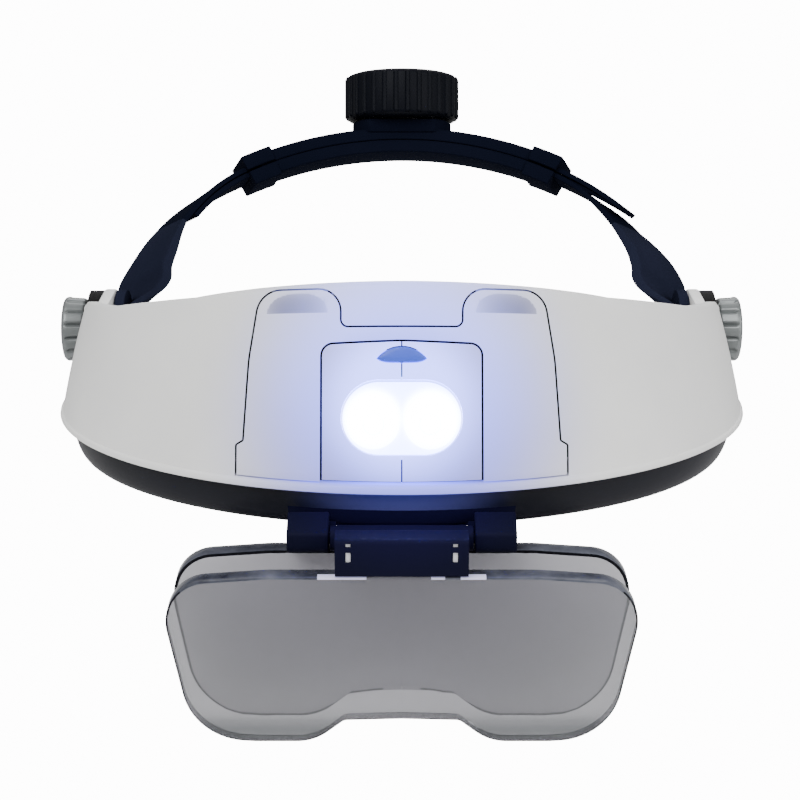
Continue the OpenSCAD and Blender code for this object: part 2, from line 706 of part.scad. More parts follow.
// The band's middle line by its heading a, with an offset out from it
side_c = [(strap_r - side_r) * sin(bend_at), ring_yc + (strap_r - side_r) * cos(bend_at)];
function band_line(a, off) = a <= bend_at
    ? [(strap_r + off) * sin(a), ring_yc + (strap_r + off) * cos(a)]
    : side_c + (side_r + off) * [sin(a), cos(a)];
// Sections of an arm: place across, place back, width, lean, thickness and heading
arm_mid = arm_x1 - arm_t / 2;
function arm_sections(off) = [
    [each band_line(arm_start, off), strap_w + 1, cone + 1, strap_t, arm_start],
    [each band_line(60, off * 0.6), strap_w + 2, cone + 3, 2.4, 60],
    [each band_line(67, 0), strap_w + 3, cone + 5, arm_t, 67],
    [each band_line(74, 0), strap_w + 4.4, cone + 7, arm_t, 74],
    [arm_mid - 5.4, 12.8, strap_w + 5, cone + 4, arm_t, 76],
    [arm_mid - 3.7, 7.8, strap_w + 4.6, cone - 9, arm_t, 80],
    [arm_mid - 0.6, 2.6, strap_w + 4, 2, arm_t, 87],
    [arm_mid, -3, strap_w + 2, 0, arm_t, 90]];
function band_edge(s, side, w) =
    let (m = [sin(s[5]), cos(s[5])], off = side * s[4] / 2 - w * tan(s[3]))
    [s[0] + m[0] * off, s[1] + m[1] * off, w];
module band_sweep(secs, rows) {
    grid_solid(
        [for (i = [0:rows]) [for (q = secs) band_edge(q, -1, lerp(-q[2] / 2, q[2] / 2, i / rows))]],
        [for (i = [0:rows]) [for (q = secs) band_edge(q, 1, lerp(-q[2] / 2, q[2] / 2, i / rows))]]);
}
module arm(s, off) {
    mirror([s < 0 ? 1 : 0, 0, 0]) band_frame() difference() {
        union() {
            band_sweep(arm_sections(off), 2);
            along_x(arm_x0, arm_x1, ear_r - 0.2);
        }
        along_x(arm_x0 - 1, arm_x1 + 1, bolt_d / 2);
        along_x(arm_x0 - 8, arm_x0, bolt_head_r + slack);
    }
}
module arm_left() { color([0.1, 0.11, 0.18]) arm(-1, layer / 2); }
module arm_right() { color([0.1, 0.11, 0.18]) arm(1, -layer / 2); }

// A strap with its toothed slot. It starts at its arm on the side s and ends past the housing.
// Teeth stand down from the slot's upper edge (edge = 1) or up from its lower edge (edge = -1).
slot_back = pitch_r + gear_module + 0.6;
slot_tip = pitch_r - gear_module + 0.1;
slot_root = pitch_r + 1.25 * gear_module;
tooth_w = PI * gear_module / 2 - backlash;
tooth_count = 16;
module rack(s, off, edge) {
    r = strap_r + off;
    mirror([s > 0 ? 1 : 0, 0, 0]) band_frame() {
        difference() {
            band_sweep(strap_sections(off, edge), 1);
            ring_frame() rack_slot(r, edge);
        }
        ring_frame() for (i = [0:tooth_count-1]) rack_tooth(r, edge, i + 0.5);
    }
}
// A strap from its arm, over the back, to its free end. The outer one runs out straight, and the
// inner one follows the inside of the other arm.
tail_heading = 51;
function strap_line(a, off, edge) =
    a < 0 ? let (q = band_line(-a, off)) [-q[0], q[1]]
    : edge > 0 ? [(strap_r + off) * sin(a), ring_yc + (strap_r + off) * cos(a)]
    : band_line(a, a > bend_at ? off - 0.3 : off);
function strap_sections(off, edge) =
    let (last = edge > 0 ? rack_end : tail_heading, n = round((last + arm_start) / 2.7))
    [for (i = [0:n]) let (a = -arm_start + (last + arm_start) * i / n, past = max(0, -a - 41) / 14)
        [each strap_line(a, off, edge), strap_w + past, cone + past, strap_t, a]];
// Angle along the strap, from the pinion towards the free end, as a turn of the ring
module at_angle(a, r) {
    rotate([0, 0, -a]) translate([0, r, 0]) rotate([cone - 90, 0, 0]) mirror([0, 1, 0])
        translate([0, (r - strap_r) * sin(cone), 0]) children();
}
module rack_slot(r, edge) {
    steps = 8;
    last = edge > 0 ? rack_end - 2.5 : bend_at - 1;
    first = -5;
    up = edge > 0 ? slot_root : slot_back;
    down = edge > 0 ? slot_back : slot_root;
    piece = r * (last - first) / steps * PI / 180 + 0.8;
    for (k = [0:steps-1]) at_angle(first + (last - first) * (k + 0.5) / steps, r)
        translate([-piece / 2, -down, -3]) cube([piece, up + down, 6]);
}
module rack_tooth(r, edge, i) {
    at_angle(tooth_step * (i - 1), r) scale([1, edge, 1]) translate([0, 0, -strap_t / 2 + 0.05])
        linear_extrude(strap_t - 0.1) polygon([
            [-tooth_w / 2 - 0.45, slot_root + 0.4], [-tooth_w / 2 + 0.36, slot_tip],
            [tooth_w / 2 - 0.36, slot_tip], [tooth_w / 2 + 0.45, slot_root + 0.4]]);
}
module rack_left() { color([0.1, 0.11, 0.18]) rack(-1, layer / 2, 1); }
module rack_right() { color([0.1, 0.11, 0.18]) rack(1, -layer / 2, -1); }

// The rear housing in two halves, joined between the straps' outer and inner faces
module housing_half(r0, r1, r_cut0, r_cut1) {
    band_frame() difference() {
        union() {
            band_arc(-house_half, house_half, r0, r1, house_w);
            for (s = [-1, 1])
                band_arc(s * house_half - 2.6, s * house_half + 2.6, r0 + (r0 < strap_r - 1 ? -1 : 0.3),
                         r1 + (r1 > strap_r + 1 ? 1.3 : -0.3), house_w + 1.8);
        }
        band_arc(-house_half - 4, house_half + 4, r_cut0, r_cut1, strap_w + 2 * slack);
    }
}
module rear_base() {
    color([0.1, 0.11, 0.18]) difference() {
        housing_half(house_in, strap_r - 0.02, inner_r - strap_t / 2 - 0.2, strap_r + 2);
        back_frame() translate([0, 0, house_in - strap_r + 0.7]) cylinder(r = 2.1, h = 3, $fn = 32);
    }
}
boss_r = 15.5;
boss_top = house_out - strap_r + 2.2;
knob_z0 = boss_top + 0.5;
module rear_cover() {
    color([0.1, 0.11, 0.18]) difference() {
        union() {
            housing_half(strap_r + 0.02, house_out, strap_r - 2, outer_r + strap_t / 2 + 0.2);
            back_frame() difference() {
                translate([0, 0, outer_r + strap_t / 2 + 0.35 - strap_r])
                    cylinder(r = boss_r, h = boss_top - (outer_r + strap_t / 2 + 0.35 - strap_r), $fn = 64);
                for (s = [-1, 1]) translate([-20, s > 0 ? house_w / 2 + 0.6 : -house_w / 2 - 20.6, -2])
                    cube([40, 20, 12]);
            }
        }
        back_frame() translate([0, 0, -3]) cylinder(r = pitch_r + gear_module + 0.3, h = 5.4, $fn = 48);
        back_frame() translate([0, 0, -3]) cylinder(r = 3.5 + fit, h = 20, $fn = 48);
    }
}
module gear_shape() {
    n = pinion_teeth;
    tip = pitch_r + gear_module - 0.1;
    root = pitch_r - 1.2 * gear_module;
    half = (PI * gear_module / 2 - backlash) / pitch_r * 90 / PI;
    polygon([for (i = [0:n-1]) each [for (q = [[-1.75, root], [-0.45, tip], [0.45, tip], [1.75, root]])
        let (a = 90 + 360 * i / n + q[0] * half) q[1] * [cos(a), sin(a)]]]);
}
gear_z0 = (inner_r - strap_r - strap_t / 2 - 0.2) * cos(cone) + 0.15;
gear_z1 = (outer_r - strap_r + strap_t / 2) * cos(cone) + 0.1;
module pinion() {
    color("silver") back_frame() union() {
        translate([0, 0, gear_z0]) linear_extrude(gear_z1 - gear_z0) gear_shape();
        translate([0, 0, house_in - strap_r + 0.9]) cylinder(r = 2.05, h = 3, $fn = 32);
        translate([0, 0, 1.2]) cylinder(r = 3.5, h = knob_z0 + 5 - 1.2, $fn = 48);
    }
}
module size_knob() {
    grips = 30;
    r = knob_d / 2;
    color([0.1, 0.11, 0.18]) back_frame() translate([0, 0, knob_z0]) difference() {
        rotate_extrude($fn = 96) polygon([[3.5, 2.6], [3.5, 0.4], [4.2, 0], [r - 2.2, 0], [r - 0.9, 0.5], [r, 1.9],
            [r, knob_h - 1.9], [r - 0.7, knob_h - 0.8], [r - 2, knob_h - 0.2], [r * 0.5, knob_h], [0, knob_h],
            [0, 5.05], [3.5, 5.05]]);
        for (i = [0:grips-1]) rotate([0, 0, 360 * i / grips]) translate([r + 0.55, 0, -1])
            cylinder(r = 0.95, h = knob_h + 2, $fn = 16);
    }
}
module click_spring() {
    color("silver") back_frame() translate([0, 0, boss_top + 0.05]) difference() {
        cylinder(r = 8, h = 0.4, $fn = 48);
        translate([0, 0, -1]) cylinder(r = 3.7, h = 3, $fn = 48);
    }
}

upper_shell();
lower_shell();
inner_liner();
forehead_pad();
battery_tray();
battery_cells();
battery_contacts();
battery_cover();
shell_screws();
lamp_half_left();
lamp_half_right();
lamp_window();
reflector();
led_board();
leds();
lamp_switch();
lamp_button();
lamp_pivots();
hinge_pin();
lens_holder();
clip_springs();
front_lens();
rear_lens();
spacer_left();
spacer_right();
bolt_left();
bolt_right();
thumb_left();
thumb_right();
arm_left();
arm_right();
rack_left();
rack_right();
rear_base();
rear_cover();
size_knob();
pinion();
click_spring();
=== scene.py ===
"""Looks of a lighted headband magnifier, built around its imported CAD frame.

Every piece is made in metres in the frame's own axes: +X to the side, +Y to the back of the head,
+Z up, with the origin in the middle of the temple pivot axis.
"""

from __future__ import annotations

import json
import logging
import math
from contextlib import contextmanager
from dataclasses import dataclass, field, replace
from enum import Enum
from math import cos, hypot, pi, radians, sin
from typing import Callable, Iterable, Iterator, Sequence

import bmesh
import bpy
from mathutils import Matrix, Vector
from mathutils.kdtree import KDTree

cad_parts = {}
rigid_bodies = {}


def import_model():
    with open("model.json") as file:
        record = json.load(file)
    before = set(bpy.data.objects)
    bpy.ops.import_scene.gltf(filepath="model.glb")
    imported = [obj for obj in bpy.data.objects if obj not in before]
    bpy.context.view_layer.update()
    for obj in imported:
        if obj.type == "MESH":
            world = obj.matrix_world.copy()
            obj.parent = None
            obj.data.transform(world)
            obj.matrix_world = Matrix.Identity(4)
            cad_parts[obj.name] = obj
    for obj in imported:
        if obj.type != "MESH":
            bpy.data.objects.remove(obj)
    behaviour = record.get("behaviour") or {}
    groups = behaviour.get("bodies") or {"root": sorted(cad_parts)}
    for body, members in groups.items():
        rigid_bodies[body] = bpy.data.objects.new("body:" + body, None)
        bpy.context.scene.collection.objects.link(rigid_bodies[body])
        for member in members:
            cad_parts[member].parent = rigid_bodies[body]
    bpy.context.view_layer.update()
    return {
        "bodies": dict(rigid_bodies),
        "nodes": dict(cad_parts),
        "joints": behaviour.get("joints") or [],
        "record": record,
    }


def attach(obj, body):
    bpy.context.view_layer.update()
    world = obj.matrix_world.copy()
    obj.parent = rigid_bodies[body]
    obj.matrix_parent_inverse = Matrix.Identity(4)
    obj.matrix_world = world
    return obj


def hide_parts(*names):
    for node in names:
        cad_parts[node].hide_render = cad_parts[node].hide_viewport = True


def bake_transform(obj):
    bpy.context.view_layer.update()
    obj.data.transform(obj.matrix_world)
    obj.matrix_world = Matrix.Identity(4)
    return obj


LOG = logging.getLogger("magnifier")
MM = 0.001
Grid = list[list[Vector]]
Outline = list[tuple[float, float]]
Corners = Sequence[tuple[float, float, float]]
Colour = tuple[float, float, float, float]
Faces = list[tuple[int, ...]]
Place = Callable[[float, float, float], Vector]
Piece = bpy.types.Object
Node = bpy.types.Node
Tree = bpy.types.NodeTree
Socket = bpy.types.NodeSocket
FLOAT, COLOUR, VECTOR = "NodeSocketFloat", "NodeSocketColor", "NodeSocketVector"


class Body(str, Enum):
    """The CAD bodies that pieces ride on."""

    VISOR = "visor"
    DOOR = "battery_door"
    LAMP = "lamp"
    KEY = "lamp_key"
    CARRIER = "lens_carrier"
    FRONT_PLATE = "front_plate"
    REAR_PLATE = "rear_plate"
    LEFT_THUMB = "left_thumb"
    RIGHT_THUMB = "right_thumb"
    BAND = "headband"
    HOUSING = "rear_housing"
    DIAL = "size_dial"


# Curves shared by the visor's pieces, in millimetres


@dataclass(frozen=True)
class VisorCurves:
    """The double ellipse that the visor's face is drawn on, in millimetres."""

    lip_a: float = 98.6
    lip_b: float = 67.0
    lip_yc: float = -25.0
    lip_z: float = -15.5
    rim_a: float = 91.5
    rim_b: float = 58.0
    rim_yc: float = -12.0
    rim_z: float = 35.0
    rim_drop: float = 0.00236
    bulge: float = 0.5
    wall: float = 2.2
    bead_v: float = 0.043
    bead_out: float = 0.6
    liner_a: float = 89.0
    liner_b: float = 45.0
    flange_fall: float = 4.6
    rear_y: float = -12.0
    chin_h: float = 10.6
    seam: float = 0.5
    temple_out: float = 2.9
    knob_t: float = 6.7
    knob_gap: float = 0.1
    spacer_t: float = 5.4
    ear_t: float = 3.4
    arm_gap: float = 0.3
    arm_t: float = 3.1

    def rim_height(self, phi: float) -> float:
        """Height of the top rim at an angle from the middle of the face."""
        return self.rim_z - self.rim_drop * (self.rim_a * sin(phi)) ** 2

    def point(self, phi: float, v: float, depth: float) -> Vector:
        """A point of the face.

        Args:
            phi: angle round the visor in radians, 0 at the front.
            v: share of the way from the lip to the rim.
            depth: distance in from the outer surface, in millimetres.

        Returns:
            The point in millimetres.
        """
        swell = self.bulge * 4 * v * (1 - v) - depth
        a = mix(self.lip_a, self.rim_a, v) + swell
        b = mix(self.lip_b, self.rim_b, v) + swell
        return Vector((a * sin(phi), mix(self.lip_yc, self.rim_yc, v) - b * cos(phi),
                       mix(self.lip_z, self.rim_height(phi), v)))

    @property
    def knob_x(self) -> float:
        """Outer end of the temple knobs."""
        return self.lip_a + self.temple_out

    @property
    def ear_x(self) -> float:
        """Outer side of the temple ears, under the knob and its rubber spacer."""
        return self.knob_x - self.knob_t - self.knob_gap - self.spacer_t

    @property
    def face_y0(self) -> float:
        """Place of the lip at the middle of the face."""
        return self.lip_yc - self.lip_b

    @property
    def face_len(self) -> float:
        """Length of the face from lip to rim, at its middle."""
        return hypot(self.rim_yc - self.rim_b - self.face_y0, self.rim_z - self.lip_z)

    @property
    def tilt(self) -> float:
        """Slope of the face at its middle, in radians."""
        return math.atan2(self.rim_z - self.lip_z, self.rim_yc - self.rim_b - self.face_y0)

    def face(self, x: float, u: float, n: float) -> Vector:
        """A point in the flat frame of the face: x across, u up the face, n straight out of it."""
        c, s = cos(self.tilt), sin(self.tilt)
        return Vector((x, self.face_y0 + c * u - s * n, self.lip_z + s * u + c * n))

    def sag(self, x: float) -> float:
        """How far the curved face falls behind the flat frame at x."""
        return self.lip_b * (1 - math.sqrt(1 - (x / self.lip_a) ** 2)) * sin(self.tilt)


CURVES = VisorCurves()


def mix(a: float, b: float, v: float) -> float:
    """Blend two numbers."""
    return a + (b - a) * v


def circle(r: float, step: int, start: int = 0, stop: int = 360) -> Outline:
    """Points on a circle.

    Args:
        r: its radius.
        step: degrees between two points.
        start: the first point's angle in degrees.
        stop: the angle that the points stay below.

    Returns:
        The points as x, y pairs.
    """
    return [(r * cos(radians(a)), r * sin(radians(a))) for a in range(start, stop, step)]


def across(side: int = 1) -> Place:
    """Places an outline drawn from the side: y and z, then x towards one side."""
    return lambda y, z, x: Vector((side * x, y, z))


def rounded(corners: Corners, steps: int = 8) -> Outline:
    """Round the corners of an outline.

    Args:
        corners: x, y and corner radius of each corner.
        steps: pieces in each rounded corner.

    Returns:
        The outline as x, y pairs.
    """
    out: Outline = []
    count = len(corners)
    for i, (x, y, r) in enumerate(corners):
        here = Vector((x, y))
        if r == 0:
            out.append((x, y))
            continue
        before = Vector(corners[i - 1][:2]) - here
        after = Vector(corners[(i + 1) % count][:2]) - here
        before.normalize()
        after.normalize()
        half = before.angle(after) / 2
        centre = here + (before + after).normalized() * (r / sin(half))
        start = here + before * (r / math.tan(half)) - centre
        end = here + after * (r / math.tan(half)) - centre
        a0 = math.atan2(start.y, start.x)
        turn = (math.atan2(end.y, end.x) - a0 + pi) % (2 * pi) - pi
        for k in range(steps + 1):
            a = a0 + turn * k / steps
            out.append((centre.x + r * cos(a), centre.y + r * sin(a)))
    return out


def mirrored(corners: Corners) -> list[tuple[float, float, float]]:
    """The same corners on the other side of the middle, in reverse order."""
    return [(-x, y, r) for x, y, r in reversed(corners)]


@contextmanager
def edited(mesh: bpy.types.Mesh) -> Iterator[bmesh.types.BMesh]:
    """Open a mesh for edits and write them back.

    Args:
        mesh: the mesh.

    Returns:
        Its editable copy, while the block runs.
    """
    bm = bmesh.new()
    bm.from_mesh(mesh)
    yield bm
    bm.to_mesh(mesh)
    bm.free()


class Shaper:
    """Makes closed meshes from points in millimetres."""

    @staticmethod
    def link(name: str, data: bpy.types.ID) -> Piece:
        """Put a mesh, light or camera into the scene as an object of that name."""
        obj = bpy.data.objects.new(name, data)
        bpy.context.scene.collection.objects.link(obj)
        return obj

    @classmethod
    def solid(cls, name: str, verts: Iterable[Vector], faces: Iterable[Sequence[int]],
              smooth: float = 35.0) -> Piece:
        """Make an object from points and faces.

        Args:
            name: name of the object.
            verts: points in millimetres.
            faces: corner numbers of each face.
            smooth: edges that turn by more than this many degrees stay sharp.

        Returns:
            The object, with its normals pointing outwards.
        """
        mesh = bpy.data.meshes.new(name)
        mesh.from_pydata([tuple(Vector(p) * MM) for p in verts], [], [tuple(f) for f in faces])
        with edited(mesh) as bm:
            bmesh.ops.remove_doubles(bm, verts=bm.verts, dist=1e-7)
            bmesh.ops.recalc_face_normals(bm, faces=bm.faces)
            if bm.calc_volume(signed=True) < 0:
                bmesh.ops.reverse_faces(bm, faces=bm.faces)
        obj = cls.link(name, mesh)
        cls.smooth(obj, smooth)
        return obj

    @staticmethod
    def smooth(obj: Piece, turn: float) -> None:
        """Shade an object smooth, apart from edges that turn by more than this many degrees."""
        obj.data.shade_smooth()
        obj.data.set_sharp_from_angle(angle=radians(turn))

    @classmethod
    def grids(cls, name: str, front: Grid, back: Grid, smooth: float = 35.0) -> Piece:
        """A closed solid between two grids of points.

        Args:
            name: name of the object.
            front: rows of points of the one side, all of the same length.
            back: the same rows on the other side.
            smooth: edges that turn by more than this many degrees stay sharp.

        Returns:
            The object.
        """
        rows, cols = len(front), len(front[0])
        count = rows * cols
        verts = [p for row in front for p in row] + [p for row in back for p in row]
        faces: Faces = []
        for i in range(rows - 1):
            for j in range(cols - 1):
                a = i * cols + j
                faces.append((a, a + cols, a + cols + 1, a + 1))
                faces.append((count + a, count + a + 1, count + a + cols + 1, count + a + cols))
        for j in range(cols - 1):
            top = (rows - 1) * cols + j
            faces.append((j, j + 1, count + j + 1, count + j))
            faces.append((top + 1, top, count + top, count + top + 1))
        for i in range(rows - 1):
            a, b = i * cols, (i + 1) * cols
            faces.append((b, a, count + a, count + b))
            faces.append((a + cols - 1, b + cols - 1, count + b + cols - 1, count + a + cols - 1))
        return cls.solid(name, verts, faces, smooth)

    @classmethod
    def prism(cls, name: str, outline: Outline, place: Place, low: float, high: float) -> Piece:
        """Extrude an outline.

        Args:
            name: name of the object.
            outline: the outline in its own plane.
            place: gives a point's place from the outline's two numbers and the level.
            low: level of the one end.
            high: level of the other end.

        Returns:
            The object.
        """
        n = len(outline)
        verts = [place(x, y, low) for x, y in outline] + [place(x, y, high) for x, y in outline]
        faces: Faces = [tuple(range(n)), tuple(range(2 * n - 1, n - 1, -1))]
        faces += [(i, i + n, (i + 1) % n + n, (i + 1) % n) for i in range(n)]
        return cls.solid(name, verts, faces)

    @classmethod
    def tube(cls, name: str, rings: Sequence[Sequence[Vector]], smooth: float = 40.0) -> Piece:
        """Join rings of points into a closed solid with flat ends.

        Args:
            name: name of the object.
            rings: the rings in order, each with the same number of points.
            smooth: edges that turn by more than this many degrees stay sharp.

        Returns:
            The object.
        """
        n = len(rings[0])
        verts = [p for ring in rings for p in ring]
        faces: Faces = [tuple(range(n)), tuple(range(len(verts) - 1, len(verts) - n - 1, -1))]
        faces += [(k * n + i, (k + 1) * n + i, (k + 1) * n + (i + 1) % n, k * n + (i + 1) % n)
                  for k in range(len(rings) - 1) for i in range(n)]
        return cls.solid(name, verts, faces, smooth)

    @classmethod
    def boolean(cls, obj: Piece, tools: Sequence[Piece], operation: str,
                smooth: float = 35.0) -> Piece:
        """Cut or join an object with others, which are used up.

        Args:
            obj: the piece that is kept.
            tools: the solids that cut it or join it.
            operation: DIFFERENCE, UNION or INTERSECT.
            smooth: edges that turn by more than this many degrees stay sharp.

        Returns:
            The piece.
        """
        for tool in tools:
            step = obj.modifiers.new("cut", "BOOLEAN")
            step.solver = "EXACT"
            step.operation = operation
            step.object = tool
            cls.apply(obj)
            bpy.data.objects.remove(tool)
        with edited(obj.data) as bm:
            bmesh.ops.remove_doubles(bm, verts=bm.verts, dist=2e-6)
            bmesh.ops.dissolve_degenerate(bm, edges=bm.edges, dist=1e-6)
        cls.smooth(obj, smooth)
        return obj

    @staticmethod
    def apply(obj: Piece) -> None:
        """Turn an object's modifiers into its mesh.

        Args:
            obj: the object, left with no modifier.
        """
        graph = bpy.context.evaluated_depsgraph_get()
        mesh = bpy.data.meshes.new_from_object(obj.evaluated_get(graph), depsgraph=graph)
        old = obj.data
        obj.modifiers.clear()
        obj.data = mesh
        mesh.name = obj.name
        bpy.data.meshes.remove(old)

    @classmethod
    def soften(cls, obj: Piece, width: float, turn: float = 40.0, steps: int = 2) -> Piece:
        """Round a piece's sharp edges.

        Args:
            obj: the piece.
            width: width of the rounding in millimetres.
            turn: edges that turn by more than this many degrees are rounded.
            steps: faces across the rounding.

        Returns:
            The piece.
        """
        edge = obj.modifiers.new("edge", "BEVEL")
        edge.width = width * MM
        edge.segments = steps
        edge.limit_method = "ANGLE"
        edge.angle_limit = radians(turn)
        edge.harden_normals = False
        cls.apply(obj)
        cls.smooth(obj, turn)
        return obj


# Finishes


def linear(r: int, g: int, b: int) -> Colour:
    """A screen colour, 0 to 255, as a linear shader colour.

    Args:
        r: red.
        g: green.
        b: blue.

    Returns:
        The colour with full opacity.
    """
    def one(v: int) -> float:
        """One channel."""
        c = v / 255
        return c / 12.92 if c <= 0.04045 else ((c + 0.055) / 1.055) ** 2.4
    return (one(r), one(g), one(b), 1.0)


def feed(tree: Tree, node: Node, values: dict[str, object]) -> Node:
    """Fill a node's inputs.

    Args:
        tree: the tree that the node is in.
        node: the node.
        values: by an input's name or number, a socket to link, or a number or colour to set.

    Returns:
        The node.
    """
    for key, value in values.items():
        socket = node.inputs[int(key)] if key.isdigit() else node.inputs[key]
        if isinstance(value, Socket):
            tree.links.new(value, socket)
        else:
            socket.default_value = value
    return node


def tint(tree: Tree, factor: Socket, a: Socket | Colour, b: Socket | Colour) -> Socket:
    """A mix of two colours, each a socket or a plain colour.

    Args:
        tree: the material's tree.
        factor: share of the second colour.
        a: the first colour.
        b: the second colour.

    Returns:
        The mixed colour.
    """
    node = tree.nodes.new("ShaderNodeMix")
    node.data_type = "RGBA"
    return feed(tree, node, {"Factor": factor, "A": a, "B": b}).outputs["Result"]


class NodeGroups:
    """Shader node groups that several finishes share, each built once."""

    def __init__(self) -> None:
        """Build every group."""
        self.plastic = self._moulded_plastic()
        self.spill = self._lamp_spill()
        self.weave = self._cloth_weave()

    @staticmethod
    def _new(name: str, inputs: Sequence[tuple[str, str, float | None]], outputs: Sequence[tuple[str, str]]
             ) -> tuple[Tree, bpy.types.NodeOutputs, Node]:
        """Start a group.

        Args:
            name: name of the group.
            inputs: name, kind and first value of each input.
            outputs: name and kind of each output.

        Returns:
            The tree, the sockets that its inputs arrive at, and the node that its outputs leave by.
        """
        tree = bpy.data.node_groups.new(name, "ShaderNodeTree")
        for label, kind, value in inputs:
            socket = tree.interface.new_socket(label, in_out="INPUT", socket_type=kind)
            if value is not None:
                socket.default_value = value
        for label, kind in outputs:
            tree.interface.new_socket(label, in_out="OUTPUT", socket_type=kind)
        return tree, tree.nodes.new("NodeGroupInput").outputs, tree.nodes.new("NodeGroupOutput")

    @staticmethod
    def _noise(tree: Tree, detail: float, roughness: float) -> Node:
        """A noise texture node."""
        return feed(tree, tree.nodes.new("ShaderNodeTexNoise"), {"Detail": detail, "Roughness": roughness})

    @staticmethod
    def _math(tree: Tree, operation: str, *terms: Socket | float) -> Socket:
        """A math node; numbers are set and sockets are linked."""
        node = tree.nodes.new("ShaderNodeMath")
        node.operation = operation
        return feed(tree, node, {str(i): term for i, term in enumerate(terms)}).outputs[0]

    @classmethod
    def _moulded_plastic(cls) -> Tree:
        """Fine mould grain, slow colour drift and uneven gloss."""
        tree, given, leave = cls._new(
            "moulded_plastic",
            [("Vector", VECTOR, None), ("Colour", COLOUR, None),
             ("Drift Colour", COLOUR, None), ("Grain Scale", FLOAT, 1800.0),
             ("Drift Scale", FLOAT, 22.0), ("Roughness", FLOAT, 0.4),
             ("Gloss Spread", FLOAT, 0.08)],
            [("Colour", COLOUR), ("Roughness", FLOAT), ("Height", FLOAT)])
        grain = cls._noise(tree, 3.0, 0.6)
        drift = cls._noise(tree, 4.0, 0.55)
        smear = cls._noise(tree, 6.0, 0.7)
        for node, socket in ((grain, "Grain Scale"), (drift, "Drift Scale"), (smear, "Drift Scale")):
            feed(tree, node, {"Vector": given["Vector"], "Scale": given[socket]})
        smear.inputs["Distortion"].default_value = 1.5
        soft = cls._math(tree, "MULTIPLY_ADD", drift.outputs["Fac"], 2.4, -0.7)
        clamped = feed(tree, tree.nodes.new("ShaderNodeClamp"), {"Value": soft})
        colour = tint(tree, clamped.outputs[0], given["Colour"], given["Drift Colour"])
        spread = cls._math(tree, "MULTIPLY", cls._math(tree, "SUBTRACT", smear.outputs["Fac"], 0.5),
                           given["Gloss Spread"])
        rough = cls._math(tree, "ADD", given["Roughness"], cls._math(tree, "MULTIPLY", spread, 2.0))
        feed(tree, leave, {"Colour": colour, "Roughness": rough, "Height": grain.outputs["Fac"]})
        return tree

    @classmethod
    def _lamp_spill(cls) -> Tree:
        """How near a point is to the lamp's window, as the mask of painted lamp light, painted glow and
        painted shade: 1 beside it, 0 at the reach.
        """
        tree, given, leave = cls._new(
            "lamp_spill",
            [("Vector", VECTOR, None), ("Centre", VECTOR, None),
             ("Near", FLOAT, 0.01), ("Reach", FLOAT, 0.07),
             ("Power", FLOAT, 1.6)],
            [("Mask", FLOAT)])
        away = tree.nodes.new("ShaderNodeVectorMath")
        away.operation = "DISTANCE"
        feed(tree, away, {"0": given["Vector"], "1": given["Centre"]})
        span = tree.nodes.new("ShaderNodeMapRange")
        span.interpolation_type = "SMOOTHSTEP"
        feed(tree, span, {"Value": away.outputs["Value"], "From Min": given["Reach"],
                          "From Max": given["Near"]})
        mask = cls._math(tree, "POWER", span.outputs["Result"], given["Power"])
        tree.links.new(mask, leave.inputs["Mask"])
        return tree

    @classmethod
    def _cloth_weave(cls) -> Tree:
        """A plain weave of crossing threads with a little lint."""
        tree, given, leave = cls._new(
            "cloth_weave",
            [("Vector", VECTOR, None), ("Colour", COLOUR, None),
             ("Thread Colour", COLOUR, None), ("Thread Scale", FLOAT, 700.0)],
            [("Colour", COLOUR), ("Height", FLOAT)])
        waves = []
        for direction in ("X", "Z"):
            wave = tree.nodes.new("ShaderNodeTexWave")
            wave.bands_direction = direction
            feed(tree, wave, {"Distortion": 0.6, "Detail": 1.0, "Vector": given["Vector"],
                              "Scale": given["Thread Scale"]})
            waves.append(wave.outputs["Fac"])
        height = cls._math(tree, "MULTIPLY", waves[0], waves[1])
        lint = feed(tree, cls._noise(tree, 5.0, 0.7), {"Scale": 160.0, "Vector": given["Vector"]})
        shade = cls._math(tree, "MULTIPLY", height, lint.outputs["Fac"])
        colour = tint(tree, shade, given["Colour"], given["Thread Colour"])
        feed(tree, leave, {"Colour": colour, "Height": height})
        return tree


@dataclass(frozen=True)
class Finish:
    """One finish: its colours, gloss and fine relief, and the lamp light, glow and shade that are painted
    into some finishes.
    """

    name: str
    colour: Colour
    drift: Colour
    roughness: float = 0.4
    spread: float = 0.06
    grain_scale: float = 1800.0
    grain_mm: float = 0.02
    drift_scale: float = 22.0
    metallic: float = 0.0
    specular: float = 0.5
    transmission: float = 0.0
    ior: float = 1.49
    # painted lamp light round the lamp's window on the shell, lamp and navy parts, and painted shade there on
    # the lens plates
    spill_colour: Colour | None = None
    spill_near: float = 0.012
    spill_reach: float = 0.075
    # painted glow: emission by distance from the lamp's window, round it on the shell and lamp housing, and
    # as the LEDs' light on the reflector and window
    glow_colour: Colour | None = None
    glow_strength: float = 0.0
    glow_near: float = 0.010
    glow_reach: float = 0.024
    glow_lift: float = 0.0
    glow_twin: float = 0.0
    glow_rest: Colour = (0.0, 0.0, 0.0, 1.0)
    # painted shade from the stored 'hollow' mark: the bottoms of the cover's thumb scoops and a band near the
    # lens plates' foot
    hollow_colour: Colour | None = None
    emission: Colour | None = None
    emission_strength: float = 0.0
    woven: bool = False


